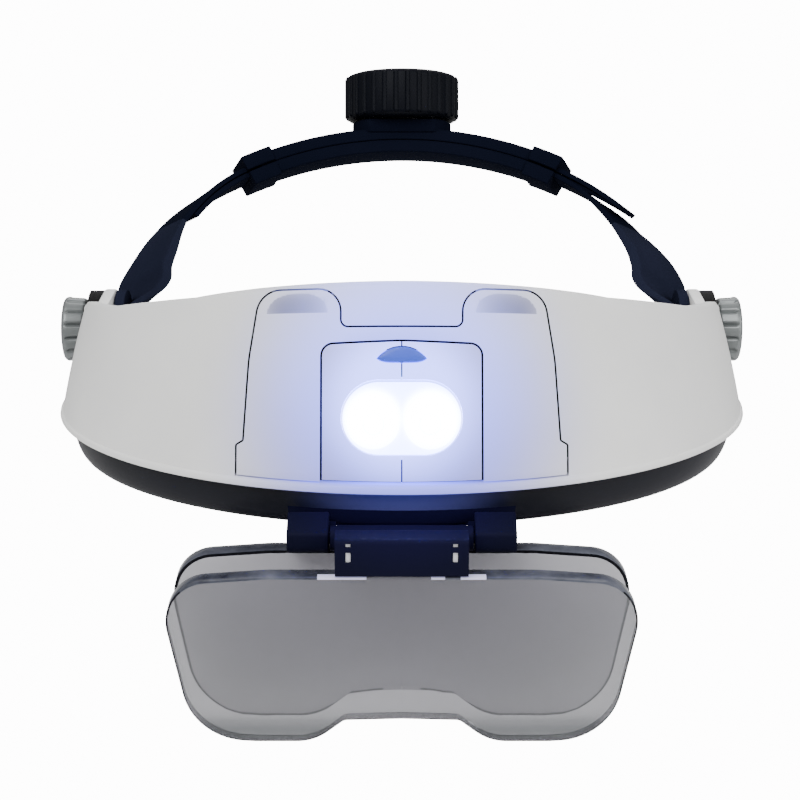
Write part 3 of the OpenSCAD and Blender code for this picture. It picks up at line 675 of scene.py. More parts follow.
class FinishShop:
    """Makes each finish's material once."""

    def __init__(self, lamp_centre: Vector) -> None:
        """Keep the node groups and the place of the lamp's window, in metres, where the painted lamp light,
        glow and shade centre.
        """
        self.groups = NodeGroups()
        self.lamp_centre = lamp_centre
        self.made: dict[str, bpy.types.Material] = {}

    def get(self, finish: Finish) -> bpy.types.Material:
        """The material of a finish."""
        if finish.name not in self.made:
            self.made[finish.name] = self._make(finish)
        return self.made[finish.name]

    def dress(self, obj: Piece, finish: Finish) -> Piece:
        """Give a whole object one finish.

        Args:
            obj: the object.
            finish: its finish.

        Returns:
            The object.
        """
        obj.data.materials.clear()
        obj.data.materials.append(self.get(finish))
        for face in obj.data.polygons:
            face.material_index = 0
        return obj

    def seams(self, obj: Piece, inside: Callable[[float, float], bool]) -> None:
        """Paint shade on the side walls of the seams in the face.

        Args:
            obj: a dressed piece of the face.
            inside: tells from a wall's place across and up the face whether it is a seam's.
        """
        obj.data.materials.append(self.get(SEAM_SHADE))
        out, up = CURVES.face(0, 0, 1) - CURVES.face(0, 0, 0), CURVES.face(0, 1, 0) - CURVES.face(0, 0, 0)
        for face in obj.data.polygons:
            spot = face.center / MM
            if abs(face.normal.dot(out)) < 0.2 and inside(abs(spot.x), (spot - CURVES.face(0, 0, 0)).dot(up)):
                face.material_index = 1

    def redress(self, node: Piece, finish: Finish) -> None:
        """Give a CAD node's own slots a finish."""
        for slot in node.material_slots:
            slot.material = self.get(finish)

    def _spill(self, tree: Tree, coords: Socket, near: float, reach: float, power: float,
               aside: float = 0.0, lift: float = 0.0) -> Socket:
        """The share of the lamp light, glow and shade painted onto a point, from its distance to the lamp's
        window.

        Args:
            tree: the material's tree.
            coords: the point's place.
            near: distance within which the light is full.
            reach: distance at which it ends.
            power: how fast it falls off between the two.
            aside: how far its middle lies to the side of the window's.
            lift: how far its middle lies up the face from the window's.

        Returns:
            The mask, 0 to 1.
        """
        node = tree.nodes.new("ShaderNodeGroup")
        node.node_tree = self.groups.spill
        up = Vector((0.0, cos(CURVES.tilt), sin(CURVES.tilt)))
        centre = self.lamp_centre + Vector((aside, 0.0, 0.0)) + up * lift
        return feed(tree, node, {"Vector": coords, "Centre": centre, "Near": near, "Reach": reach,
                                 "Power": power}).outputs["Mask"]

    def _grain(self, finish: Finish, tree: Tree, coords: Socket) -> Node:
        """The group that gives a finish its colour and fine relief, with the finish's own values.

        Args:
            finish: the finish.
            tree: its material's tree.
            coords: the point's place.

        Returns:
            The group's node.
        """
        group = tree.nodes.new("ShaderNodeGroup")
        shader = tree.nodes["Principled BSDF"]
        if finish.woven:
            group.node_tree = self.groups.weave
            feed(tree, shader, {"Roughness": finish.roughness, "Sheen Weight": 0.4})
            return feed(tree, group, {"Vector": coords, "Colour": finish.colour,
                                      "Thread Colour": finish.drift, "Thread Scale": finish.grain_scale})
        group.node_tree = self.groups.plastic
        feed(tree, shader, {"Roughness": group.outputs["Roughness"]})
        return feed(tree, group, {"Vector": coords, "Colour": finish.colour, "Drift Colour": finish.drift,
                                  "Grain Scale": finish.grain_scale, "Drift Scale": finish.drift_scale,
                                  "Roughness": finish.roughness, "Gloss Spread": finish.spread})

    def _glow(self, finish: Finish, tree: Tree, coords: Socket) -> Socket:
        """The colour of a finish's painted glow: from one light, or the stronger one of a pair.

        Args:
            finish: the finish.
            tree: its material's tree.
            coords: the point's place.

        Returns:
            The painted glow's colour.
        """
        masks = [self._spill(tree, coords, finish.glow_near, finish.glow_reach, 2.2, aside, finish.glow_lift)
                 for aside in sorted({-finish.glow_twin, finish.glow_twin})]
        mask = masks[0]
        if len(masks) > 1:
            most = tree.nodes.new("ShaderNodeMath")
            most.operation = "MAXIMUM"
            mask = feed(tree, most, {"0": masks[0], "1": masks[1]}).outputs[0]
        return tint(tree, mask, finish.glow_rest, finish.glow_colour)

    def _make(self, finish: Finish) -> bpy.types.Material:
        """Build one material.

        Args:
            finish: the finish.

        Returns:
            The material.
        """
        material = bpy.data.materials.new(finish.name)
        material.use_nodes = True
        tree = material.node_tree
        shader = tree.nodes["Principled BSDF"]
        coords = tree.nodes.new("ShaderNodeTexCoord").outputs["Object"]
        group = self._grain(finish, tree, coords)
        bump = feed(tree, tree.nodes.new("ShaderNodeBump"),
                    {"Strength": 1.0, "Distance": finish.grain_mm * MM, "Height": group.outputs["Height"]})
        colour = group.outputs["Colour"]
        # mix in the painted lamp light by distance from the lamp's window; on the lens plates it is painted
        # shade
        if finish.spill_colour:
            near = self._spill(tree, coords, finish.spill_near, finish.spill_reach, 1.3)
            colour = tint(tree, near, colour, finish.spill_colour)
        # painted shade, as much as the 'hollow' mark stores
        if finish.hollow_colour:
            depth = tree.nodes.new("ShaderNodeAttribute")
            depth.attribute_name = "hollow"
            colour = tint(tree, depth.outputs["Fac"], colour, finish.hollow_colour)
        feed(tree, shader, {"Metallic": finish.metallic, "Specular IOR Level": finish.specular,
                            "Transmission Weight": finish.transmission, "IOR": finish.ior,
                            "Normal": bump.outputs["Normal"], "Base Color": colour})
        # painted glow, emitted by distance from the lamp's window
        if finish.glow_colour:
            feed(tree, shader, {"Emission Color": self._glow(finish, tree, coords),
                                "Emission Strength": finish.glow_strength})
        # plain emission: the LEDs themselves, and the painted glow on the lens plates' lit edges
        elif finish.emission:
            feed(tree, shader, {"Emission Color": finish.emission,
                                "Emission Strength": finish.emission_strength})
        return material


GREY = linear(242, 242, 240)
# colours of the lamp light painted round the lamp's window: a lavender tint and a glow
PAINTED_LAMP_LIGHT = linear(118, 124, 255)
PAINTED_GLOW = linear(146, 158, 255)
# painted shade on the side walls of the seams between the face's parts
SEAM_SHADE = Finish("seam_wall_painted_shade", linear(60, 60, 84), linear(72, 72, 96), 0.6, specular=0.1)
# the shell's grey, with painted lamp light and a painted glow round the lamp's window
SHELL = Finish("satin_grey_shell", GREY, linear(231, 231, 230), 0.46, 0.05, specular=0.4,
               spill_colour=PAINTED_LAMP_LIGHT, spill_near=0.015, spill_reach=0.062, glow_colour=PAINTED_GLOW,
               glow_strength=2.0, glow_near=0.016, glow_reach=0.056, glow_lift=0.010)
# the cover also takes painted shade at the bottoms of its thumb scoops
COVER = replace(SHELL, name="satin_grey_cover", hollow_colour=linear(116, 116, 138))
# the lamp housing's grey, with painted lamp light and a painted glow round its window
LAMP_GREY = Finish("satin_grey_lamp", linear(228, 229, 240), linear(222, 223, 236), 0.42, 0.05,
                   specular=0.4, spill_colour=PAINTED_LAMP_LIGHT, spill_near=0.012, spill_reach=0.05,
                   glow_colour=PAINTED_GLOW, glow_strength=4.4, glow_near=0.0110, glow_reach=0.0360,
                   glow_lift=0.004)
# navy plastic, with painted lamp light (a lavender-blue tint) below the lamp
NAVY = Finish("navy_plastic", linear(9, 10, 20), linear(12, 13, 26), 0.42, 0.06, specular=0.22,
              spill_colour=linear(86, 90, 165), spill_near=0.018, spill_reach=0.040)
NAVY_DARK = Finish("navy_liner", linear(9, 10, 20), linear(12, 13, 26), 0.5, specular=0.22)
# navy of the hinge and lens holder, with much weaker painted lamp light than the lower shell's
HINGE = Finish("navy_hinge", linear(15, 16, 34), linear(18, 19, 38), 0.6, 0.06, specular=0.1, ior=1.25,
               spill_colour=linear(20, 18, 54), spill_near=0.026, spill_reach=0.046)
BAND = Finish("navy_band", linear(11, 14, 26), linear(15, 18, 31), 0.85, 0.06, grain_scale=1200,
              specular=0.05, ior=1.1)
ARM = replace(BAND, name="navy_arm", colour=linear(26, 29, 43), drift=linear(31, 34, 50))
KNOB = Finish("ribbed_black", linear(5, 7, 15), linear(7, 10, 19), 0.5, 0.08, specular=0.3, ior=1.25)
THUMB = Finish("light_grey_knob", linear(130, 134, 134), linear(114, 118, 119), 0.38, 0.06, metallic=0.45)
RUBBER = Finish("matt_rubber", linear(9, 9, 11), linear(14, 14, 16), 0.75, 0.08, grain_mm=0.05, specular=0.2)
BUTTON = Finish("blue_button", linear(66, 92, 215), linear(74, 100, 222), 0.35, 0.04, specular=0.3)
STEEL = Finish("plated_steel", linear(170, 170, 172), linear(150, 150, 154), 0.28, 0.1, metallic=1.0,
               grain_mm=0.005)
# reflector with a painted glow: bright discs at the LEDs and a lavender glow elsewhere
MIRROR = Finish("bright_reflector", linear(235, 236, 245), linear(228, 230, 242), 0.2, 0.02, grain_mm=0.002,
                glow_colour=linear(240, 243, 255), glow_strength=14.0, glow_near=0.0076, glow_reach=0.0110,
                glow_twin=0.0076, glow_rest=linear(96, 104, 185))
TRAY = Finish("black_tray", linear(12, 12, 14), linear(18, 18, 20), 0.5, specular=0.25)
CELL = Finish("cell_jacket", linear(190, 110, 40), linear(180, 100, 34), 0.25, 0.05, metallic=0.6,
              grain_mm=0.003)
BOARD = Finish("green_board", linear(24, 92, 50), linear(20, 80, 44), 0.35, 0.08)
CLIP = Finish("pale_clip", linear(235, 235, 238), linear(228, 228, 232), 0.35, 0.05)
NYLON = Finish("nylon", linear(220, 218, 204), linear(210, 208, 194), 0.45, 0.06)
FOAM = Finish("pad_cloth", linear(16, 16, 22), linear(38, 38, 46), 0.9, grain_scale=420.0, grain_mm=0.12,
              woven=True)
# clear acrylic, painted darker towards the plate's middle near the lamp as shade, with a painted dark band
# near its foot from the 'hollow' mark
LENS = Finish("lens_acrylic", linear(186, 186, 189), linear(181, 181, 185), 0.04, 0.0, grain_mm=0.0,
              transmission=0.8, ior=1.3, spill_colour=linear(174, 173, 180), spill_near=0.045,
              spill_reach=0.095, hollow_colour=linear(136, 138, 141))
# the rear plate's copy: paler and less clear, and painted darker near the lamp as shade
LENS_REAR = replace(LENS, name="lens_acrylic_rear", colour=linear(212, 212, 215), drift=linear(206, 206, 210),
                    transmission=0.35, spill_colour=linear(196, 195, 202), hollow_colour=None)
# painted reflection on the plates' upper edges: dark, with light patches from the drift
LENS_EDGE_REFLECTION = Finish("lens_edge_painted_reflection", linear(30, 32, 44), linear(104, 107, 118), 0.12, 0.02, grain_mm=0.0,
                   drift_scale=70.0, specular=0.3)
# painted shade: dark lines on the clear plates' chamfers
LENS_CHAMFER_SHADE = Finish("lens_chamfer_painted_shade", linear(8, 9, 14), linear(16, 17, 24), 0.4, specular=0.1)
# painted glow: the lamp's light through the plate's top edge, emitted by the edge itself
LENS_PAINTED_GLOW = Finish("lens_edge_painted_glow", linear(208, 208, 228), linear(186, 186, 212), 0.2, 0.02, grain_mm=0.0,
                  emission=linear(206, 206, 255), emission_strength=0.4)
# clear lamp window with a painted glow: bright discs at the LEDs and a lavender halo round them
WINDOW = Finish("lamp_window", linear(245, 247, 255), linear(240, 243, 255), 0.05, 0.0, grain_mm=0.0,
                transmission=1.0, ior=1.2, glow_colour=linear(236, 241, 255), glow_strength=7.0,
                glow_near=0.0074, glow_reach=0.0104, glow_twin=0.0076, glow_rest=linear(96, 104, 180))
LED_LIT = Finish("led_lit", linear(255, 255, 255), linear(250, 250, 255), 0.2, 0.02,
                 emission=(0.94, 0.95, 1.0, 1.0), emission_strength=60.0)
SWITCH = Finish("switch_black", linear(14, 14, 16), linear(20, 20, 22), 0.35)

NODE_FINISHES: dict[str, Finish] = {
    "battery_tray": TRAY, "battery_cells": CELL, "battery_contacts": STEEL, "shell_screws": STEEL,
    "lamp_window": WINDOW, "reflector": MIRROR, "led_board": BOARD, "leds": LED_LIT,
    "lamp_switch": SWITCH, "lamp_pivots": NAVY_DARK, "hinge_pin": HINGE, "clip_springs": CLIP,
    "bolt_left": STEEL, "bolt_right": STEEL, "pinion": NYLON, "click_spring": STEEL,
    "upper_shell": SHELL, "battery_cover": COVER, "lamp_half_left": LAMP_GREY, "lamp_half_right": LAMP_GREY,
    "lower_shell": NAVY, "inner_liner": NAVY_DARK, "forehead_pad": FOAM, "lamp_button": BUTTON,
    "lens_holder": HINGE, "front_lens": LENS, "rear_lens": LENS_REAR, "spacer_left": RUBBER,
    "spacer_right": RUBBER, "thumb_left": THUMB, "thumb_right": THUMB, "arm_left": ARM, "arm_right": ARM,
    "rack_left": BAND, "rack_right": BAND, "rear_base": BAND, "rear_cover": BAND, "size_knob": KNOB,
}


# The visor


@dataclass
class VisorShell:
    """The grey outer shell: curved wall, lip bead, rim flange and temple ears."""

    shop: FinishShop
    curves: VisorCurves = CURVES
    reach: float = 103.0
    cols: int = 240
    ear_r: float = 12.0

    def skin(self, name: str, span: float, rows: Sequence[tuple[float, float]], depth: float,
             cols: int) -> Piece:
        """A stretch of the face's wall.

        Args:
            name: name of the object.
            span: degrees that it reaches to each side of the middle.
            rows: a share of the face's height and a depth from the face, for each row of its outer side.
            depth: depth of its inner side.
            cols: steps round the visor.

        Returns:
            The wall as a closed solid.
        """
        def row(v: float, d: float) -> list[Vector]:
            """One row of points."""
            return [self.curves.point(radians(mix(-span, span, j / cols)), v, d) for j in range(cols + 1)]
        return Shaper.grids(name, [row(v, d) for v, d in rows], [row(v, depth) for v, _ in rows])

    def wall_rows(self) -> list[tuple[float, float]]:
        """Rows of the wall, with the lip bead rounded at its foot and top."""
        c = self.curves
        bead = [(0.0, -0.25), (0.004, -0.5), (0.010, -c.bead_out), (c.bead_v - 0.012, -c.bead_out),
                (c.bead_v - 0.007, -0.52), (c.bead_v - 0.003, -0.28), (c.bead_v - 0.001, 0.0)]
        face = [(mix(0.06, 0.972, k / 20), 0.0) for k in range(21)]
        rim = [(0.984, 0.06), (0.992, 0.26), (0.997, 0.62), (1.0, 1.1)]
        return bead + face + rim

    def opening(self, corners: Corners) -> Piece:
        """The cutter of one opening, with a seam round it, that stops at the lip bead.

        Args:
            corners: the opening's corners on the face.

        Returns:
            The cutter.
        """
        c = self.curves
        rows = [(mix(c.bead_v, 1.06, k / 12), -2.0) for k in range(13)]
        above = self.skin("opening", 30.0, rows, 14.0, 100)
        outline = offset_outline(rounded(list(corners), 12), c.seam / 2)
        Shaper.boolean(above, [Shaper.prism("outline", outline, c.face, -24, 12)], "INTERSECT")
        return above

    def side_cutter(self) -> Piece:
        """The side outline that the shell's ends are trimmed to."""
        pts = rounded([(-130, -40, 0), (self.curves.rear_y, -40, 0), (self.curves.rear_y, 8.0, 9),
                       (-22, 15.4, 9), (-40, 19.4, 0), (-58, 27.5, 0), (-130, 90, 0)], 12)
        return Shaper.prism("side_trim", pts, across(), -112, 112)

    def flange(self) -> Piece:
        """The sloping top edge that runs in towards the forehead."""
        c = self.curves
        cols = 160

        def ring(dz: float) -> Grid:
            """The two ends of the flange's slope at one level.

            Args:
                dz: the level, in millimetres below the rim.

            Returns:
                Three rows of points.
            """
            outer, inner = [], []
            for j in range(cols + 1):
                phi = radians(mix(-96, 96, j / cols))
                outer.append(c.point(phi, 1, c.wall * 0.45) - Vector((0, 0, dz + 0.16)))
                inner.append(Vector((c.liner_a * sin(phi), c.rim_yc - c.liner_b * cos(phi),
                                     c.rim_height(phi) - c.flange_fall - dz)))
            middle = [a.lerp(b, 0.5) + Vector((0, 0, 0.5 if dz < 1 else 0.2)) for a, b in zip(outer, inner)]
            return [outer, middle, inner]
        return Shaper.grids("rim_flange", ring(0.02), ring(c.wall))

    def ear(self, side: int) -> Piece:
        """One temple ear: a round boss joined to the shell's end."""
        c = self.curves
        outline = [(c.rear_y - 5, -self.ear_r), *circle(self.ear_r, 6, -90, 91), (c.rear_y - 5, 12.3)]
        return Shaper.soften(Shaper.prism("ear", outline, across(side), c.ear_x - c.ear_t, c.ear_x), 0.5)

    def web(self, side: int) -> Piece:
        """The closing wall between an ear and the shell's end.

        Args:
            side: -1 for the left, 1 for the right.

        Returns:
            The wall.
        """
        c = self.curves
        rows, cols = 6, 10
        front: Grid = []
        back: Grid = []
        for i in range(rows + 1):
            z = mix(c.lip_z + 0.4, 11.2, i / rows)
            edge = c.point(radians(80), max(0.0, (z - c.lip_z) / (c.rim_z - c.lip_z)), 1.0).x
            xs = [mix(86.2, edge, j / cols) for j in range(cols + 1)]
            front.append([Vector((side * x, c.rear_y - 2.6, z)) for x in xs])
            back.append([Vector((side * x, c.rear_y - 0.25, z)) for x in xs])
        return Shaper.grids("web", front, back)

    def build(self) -> None:
        """Make the shell in place of its CAD node."""
        c = self.curves
        shell = self.skin("visor_shell", self.reach, self.wall_rows(), c.wall, self.cols)
        Shaper.boolean(shell, [self.flange()], "UNION")
        openings = [self.opening(COVER_OUTLINE), self.opening(LAMP_OUTLINE)]
        Shaper.boolean(shell, openings + [lamp_swing()], "DIFFERENCE")
        Shaper.soften(shell, 0.28, 55.0)
        Shaper.boolean(shell, [self.side_cutter()], "INTERSECT")
        for side in (-1, 1):
            Shaper.boolean(shell, [self.web(side), self.ear(side)], "UNION")
        self.shop.dress(shell, SHELL)
        # painted shade on the seam walls
        self.shop.seams(shell, lambda x, u: x < 45 and u < c.face_len - 1.5)
        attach(shell, Body.VISOR.value)
        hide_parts("upper_shell")


def offset_outline(points: Outline, grow: float) -> Outline:
    """Move every side of an outline out.

    Args:
        points: the outline, turning either way.
        grow: the distance, negative to move the sides in.

    Returns:
        The new outline, with the same number of points.
    """
    area = sum(a[0] * b[1] - b[0] * a[1] for a, b in zip(points, points[1:] + points[:1]))
    sign = 1.0 if area > 0 else -1.0
    out: Outline = []
    count = len(points)
    for i, (x, y) in enumerate(points):
        ax, ay = points[i - 1]
        bx, by = points[(i + 1) % count]
        d0 = Vector((x - ax, y - ay)).normalized()
        d1 = Vector((bx - x, by - y)).normalized()
        n0 = Vector((d0.y, -d0.x)) * sign
        n1 = Vector((d1.y, -d1.x)) * sign
        m = n0 + n1
        if m.length < 1e-6:
            out.append((x + n0.x * grow, y + n0.y * grow))
            continue
        m.normalize()
        k = grow / max(0.3, m.dot(n0))
        out.append((x + m.x * k, y + m.y * k))
    return out


def lamp_swing() -> Piece:
    """The round room that the lamp's lower edge needs as it swings in."""
    ring = [swing_point(0.3, a) for a in range(0, 360, 3)]
    half = LAMP_W / 2 + 0.1
    return Shaper.prism("swing", ring, lambda u, n, x: CURVES.face(x, u, n), -half, half)


def swing_point(free: float, degrees: float) -> tuple[float, float]:
    """A point up and out of the face that lies free of the lamp's lower edge on its swing."""
    r, a = hypot(LAMP_H / 2 - 0.7, 6.0) + free, radians(degrees)
    return LAMP_U0 + LAMP_H / 2 + r * sin(a), -6 + r * cos(a)


def room_wall() -> Piece:
    """The thin wall behind the lamp's swing, which keeps daylight out of the seams."""
    ring = [swing_point(0.5, a) for a in range(212, 264, 3)]
    ring += [swing_point(0.9, a) for a in range(261, 209, -3)]
    half = LAMP_W / 2 + 1
    return Shaper.prism("room", ring, lambda u, n, x: CURVES.face(x, u, n), -half, half)


LAMP_U0 = CURVES.bead_v * CURVES.face_len
LAMP_W, LAMP_H = 42.0, 37.6
LAMP_U1 = LAMP_U0 + LAMP_H
TONGUE_HALF = 15.9
COVER_TOP = CURVES.face_len - 1.3
_COVER_HALF = [(43.6, -6, 0), (43.6, 13.2, 0.6), (41.7, 14.3, 0.6), (40.3, 35.5, 40), (37.4, COVER_TOP, 6.5),
               (TONGUE_HALF, COVER_TOP, 6), (TONGUE_HALF, LAMP_U1 + 3.8, 1.9)]
_LAMP_HALF = [(LAMP_W / 2, -6, 0), (LAMP_W / 2, LAMP_U1 - 0.7, 3.2), (0.0, LAMP_U1 + 0.1, 60)]
COVER_OUTLINE = _COVER_HALF + mirrored(_COVER_HALF)
LAMP_OUTLINE = _LAMP_HALF + mirrored(_LAMP_HALF[:2])


@dataclass
class BatteryCover:
    """The thin cover over both battery bays, with its two thumb scoops."""

    shop: FinishShop
    curves: VisorCurves = CURVES
    # points of the scoops' bowls, each with the share of painted shade it takes
    bowl: list[tuple[Vector, float]] = field(default_factory=list)
    scoop_x: float = 28.4
    scoop_r: float = 9.7
    scoop_h: float = 5.9
    scoop_depth: float = 2.0
    scoop_low: float = 7.6

    def scoop(self, side: int) -> Piece:
        """The cutter of one thumb scoop: a quarter bowl, deepest along its flat lower side.

        Args:
            side: -1 for the left, 1 for the right.

        Returns:
            The cutter.
        """
        c = self.curves
        turn = math.atan(c.lip_b * self.scoop_x / c.lip_a ** 2) * side
        u0 = c.face_len - self.scoop_low
        base = -c.sag(self.scoop_x) + 0.35
        rows, cols = 14, 40
        low: Grid = []
        high: Grid = []
        for i in range(rows + 1):
            up = self.scoop_h * sin(pi / 2 * i / rows)
            half = self.scoop_r * max(0.0, 1 - (up / self.scoop_h) ** 2.5) ** 0.4 + 0.02
            l_row, h_row = [], []
            for j in range(cols + 1):
                x = -half * cos(pi * j / cols)
                left = max(0.0, 1 - abs(x / self.scoop_r) ** 2.5 - (up / self.scoop_h) ** 2.5)
                for row, n in ((l_row, -self.scoop_depth * left ** 0.5 + 0.02), (h_row, 9.0)):
                    x3 = x * cos(turn) + n * sin(turn)
                    n3 = -x * sin(turn) + n * cos(turn)
                    row.append(c.face(side * self.scoop_x + x3, u0 + up, base + n3))
                # how much painted shade this point of the bowl takes
                self.bowl.append((l_row[-1], left ** 0.6))
            low.append(l_row)
            high.append(h_row)
        return Shaper.grids("scoop", low, high)

    def build(self) -> None:
        """Make the cover in place of its CAD node."""
        c = self.curves
        v0 = c.bead_v + c.seam / c.face_len
        rows = [(mix(v0, 1.04, k / 22), 0.0) for k in range(23)]
        skin = VisorShell(self.shop).skin("bay_cover", 30.0, rows, c.wall, 120)
        outline = offset_outline(rounded(COVER_OUTLINE, 12), -c.seam / 2)
        Shaper.boolean(skin, [Shaper.prism("keep", outline, c.face, -20, 12)], "INTERSECT")
        hole = offset_outline(rounded(LAMP_OUTLINE, 12), c.seam / 2 + 0.05)
        lamp = Shaper.prism("hole", hole, c.face, -24, 16)
        Shaper.boolean(skin, [lamp, self.scoop(-1), self.scoop(1)], "DIFFERENCE")
        Shaper.soften(skin, 0.3, 50.0)
        self.mark_bowls(skin)
        self.shop.dress(skin, COVER)
        # painted shade on the seam walls
        self.shop.seams(skin, lambda x, u: x > 30 or u < c.face_len - 1.5)
        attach(skin, Body.DOOR.value)
        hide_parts("battery_cover")

    def mark_bowls(self, cover: Piece) -> None:
        """Store how deep each point lies in a scoop, 0 to 1, which sets the painted shade at the bowl's
        bottom.

        Args:
            cover: the cover's object.
        """
        tree = KDTree(len(self.bowl))
        for i, (point, _) in enumerate(self.bowl):
            tree.insert(point * MM, i)
        tree.balance()
        # the 'hollow' mark holds the painted shade of each point
        mark = cover.data.attributes.new("hollow", "FLOAT", "POINT")
        for i, v in enumerate(cover.data.vertices):
            _, near, away = tree.find(v.co)
            mark.data[i].value = self.bowl[near][1] if away < 0.02 * MM else 0.0


@dataclass
class LampHousing:
    """The tilting lamp: two half shells, a push button and its lit window."""

    shop: FinishShop
    curves: VisorCurves = CURVES
    wall: float = 1.9
    window_u: float = LAMP_U0 + 17.6
    window_half: float = 6.0
    window_r: float = 9.9
    button_u: float = LAMP_U0 + 33.0
    button_half: float = 6.5
    button_up: float = 3.1
    button_down: float = 1.0
    parting: float = 0.19

    def block(self, name: str, inset: float, depth0: float, depth1: float) -> Piece:
        """The lamp's body, or the room inside it.

        Args:
            name: name of the object.
            inset: how far its sides lie in from the lamp's outline.
            depth0: depth of its front from the face.
            depth1: depth of its back.

        Returns:
            The body as a closed solid.
        """
        c = self.curves
        v0 = c.bead_v + (2 * c.seam + inset) / c.face_len
        rows = [(mix(v0, 1.05, k / 30), depth0) for k in range(31)]
        skin = VisorShell(self.shop).skin(name, 17.0, rows, depth1, 60)
        outline = offset_outline(rounded(LAMP_OUTLINE, 12), -c.seam / 2 - inset)
        Shaper.boolean(skin, [Shaper.prism("keep", outline, c.face, -24, 14)], "INTERSECT")
        return skin

    def stadium(self, half: float, r: float, low: float, high: float) -> Piece:
        """A long round-ended prism across the face at the window.

        Args:
            half: half the distance between the middles of its ends.
            r: radius of its ends.
            low: its inner level, out of the face.
            high: its outer level.

        Returns:
            The prism.
        """
        pts = [(x + half, y) for x, y in circle(r, 5, -90, 91)]
        pts += [(x - half, y) for x, y in circle(r, 5, 90, 271)]
        return Shaper.prism("stadium", pts, lambda x, u, n: self.curves.face(x, self.window_u + u, n),
                            low, high)

    def button_outline(self, grow: float) -> Outline:
        """The button's half-moon outline: a full arc above, and a flat side with round corners below.

        Args:
            grow: how far the outline is moved out.

        Returns:
            The outline round the button's place.
        """
        half, up, down = self.button_half + grow, self.button_up + grow, self.button_down + grow
        r = (half ** 2 + up ** 2) / (2 * up)
        reach = math.asin(half / r)
        turns = [mix(reach, -reach, k / 36) for k in range(37)]
        out = [(r * sin(a), r * cos(a) - r + up) for a in turns]
        foot = [mix(-half, half, k / 30) for k in range(1, 30)]
        return out + [(x, -down * (1 - abs(x / half) ** 5)) for x in foot]

    def button_prism(self, grow: float, low: float, high: float) -> Piece:
        """The button's outline as a prism out of the face."""
        return Shaper.prism("button", self.button_outline(grow),
                            lambda x, u, n: self.curves.face(x, self.button_u + u, n), low, high)

    def halves(self) -> None:
        """Both half shells, parted by a fine line up the middle."""
        c = self.curves
        for side, node in ((-1, "lamp_half_left"), (1, "lamp_half_right")):
            body = self.block("lamp_shell", 0.0, 0.0, 14.0)
            hollow = self.block("hollow", self.wall, self.wall, 14.5)
            window = self.stadium(self.window_half, self.window_r, -8, 12)
            button = self.button_prism(0.2, -8, 12)
            x0, x1 = (self.parting, 40) if side > 0 else (-40, -self.parting)
            half = Shaper.prism("half", [(x0, -30), (x1, -30), (x1, 70), (x0, 70)], c.face, -30, 20)
            Shaper.boolean(body, [hollow, window, button], "DIFFERENCE")
            Shaper.boolean(body, [half], "INTERSECT")
            body.name = "lamp_left" if side < 0 else "lamp_right"
            Shaper.soften(body, 0.3, 50.0)
            self.shop.dress(body, LAMP_GREY)
            # painted shade on the seam walls
            self.shop.seams(body, lambda x, u: x < 0.4 or x > LAMP_W / 2 - 0.6 or u > LAMP_U1 - 2.4)
            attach(body, Body.LAMP.value)
            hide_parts(node)

    def button(self) -> None:
        """The crowned blue push button."""
        c = self.curves
        crown = ((0.995, -4.0), (0.995, 0.3), (0.97, 0.55), (0.9, 0.74), (0.72, 0.9), (0.45, 0.98),
                 (0.15, 1.0))
        middle = 1.7
        rings = [[c.face(x * scale, self.button_u + middle + (u - middle) * scale, n)
                  for x, u in self.button_outline(0.0)] for scale, n in crown]
        button = Shaper.tube("push_button", rings)
        flange = Shaper.prism("flange", [(-7, -0.9), (7, -0.9), (7, 2.6), (-7, 2.6)],
                              lambda x, u, n: c.face(x, self.button_u + u, n), -4.1, -3.1)
        Shaper.boolean(button, [flange], "UNION")
        self.shop.dress(button, BUTTON)
        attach(button, Body.KEY.value)
        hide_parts("lamp_button")

    def build(self) -> None:
        """Make the lamp's outer pieces."""
        self.halves()
        self.button()


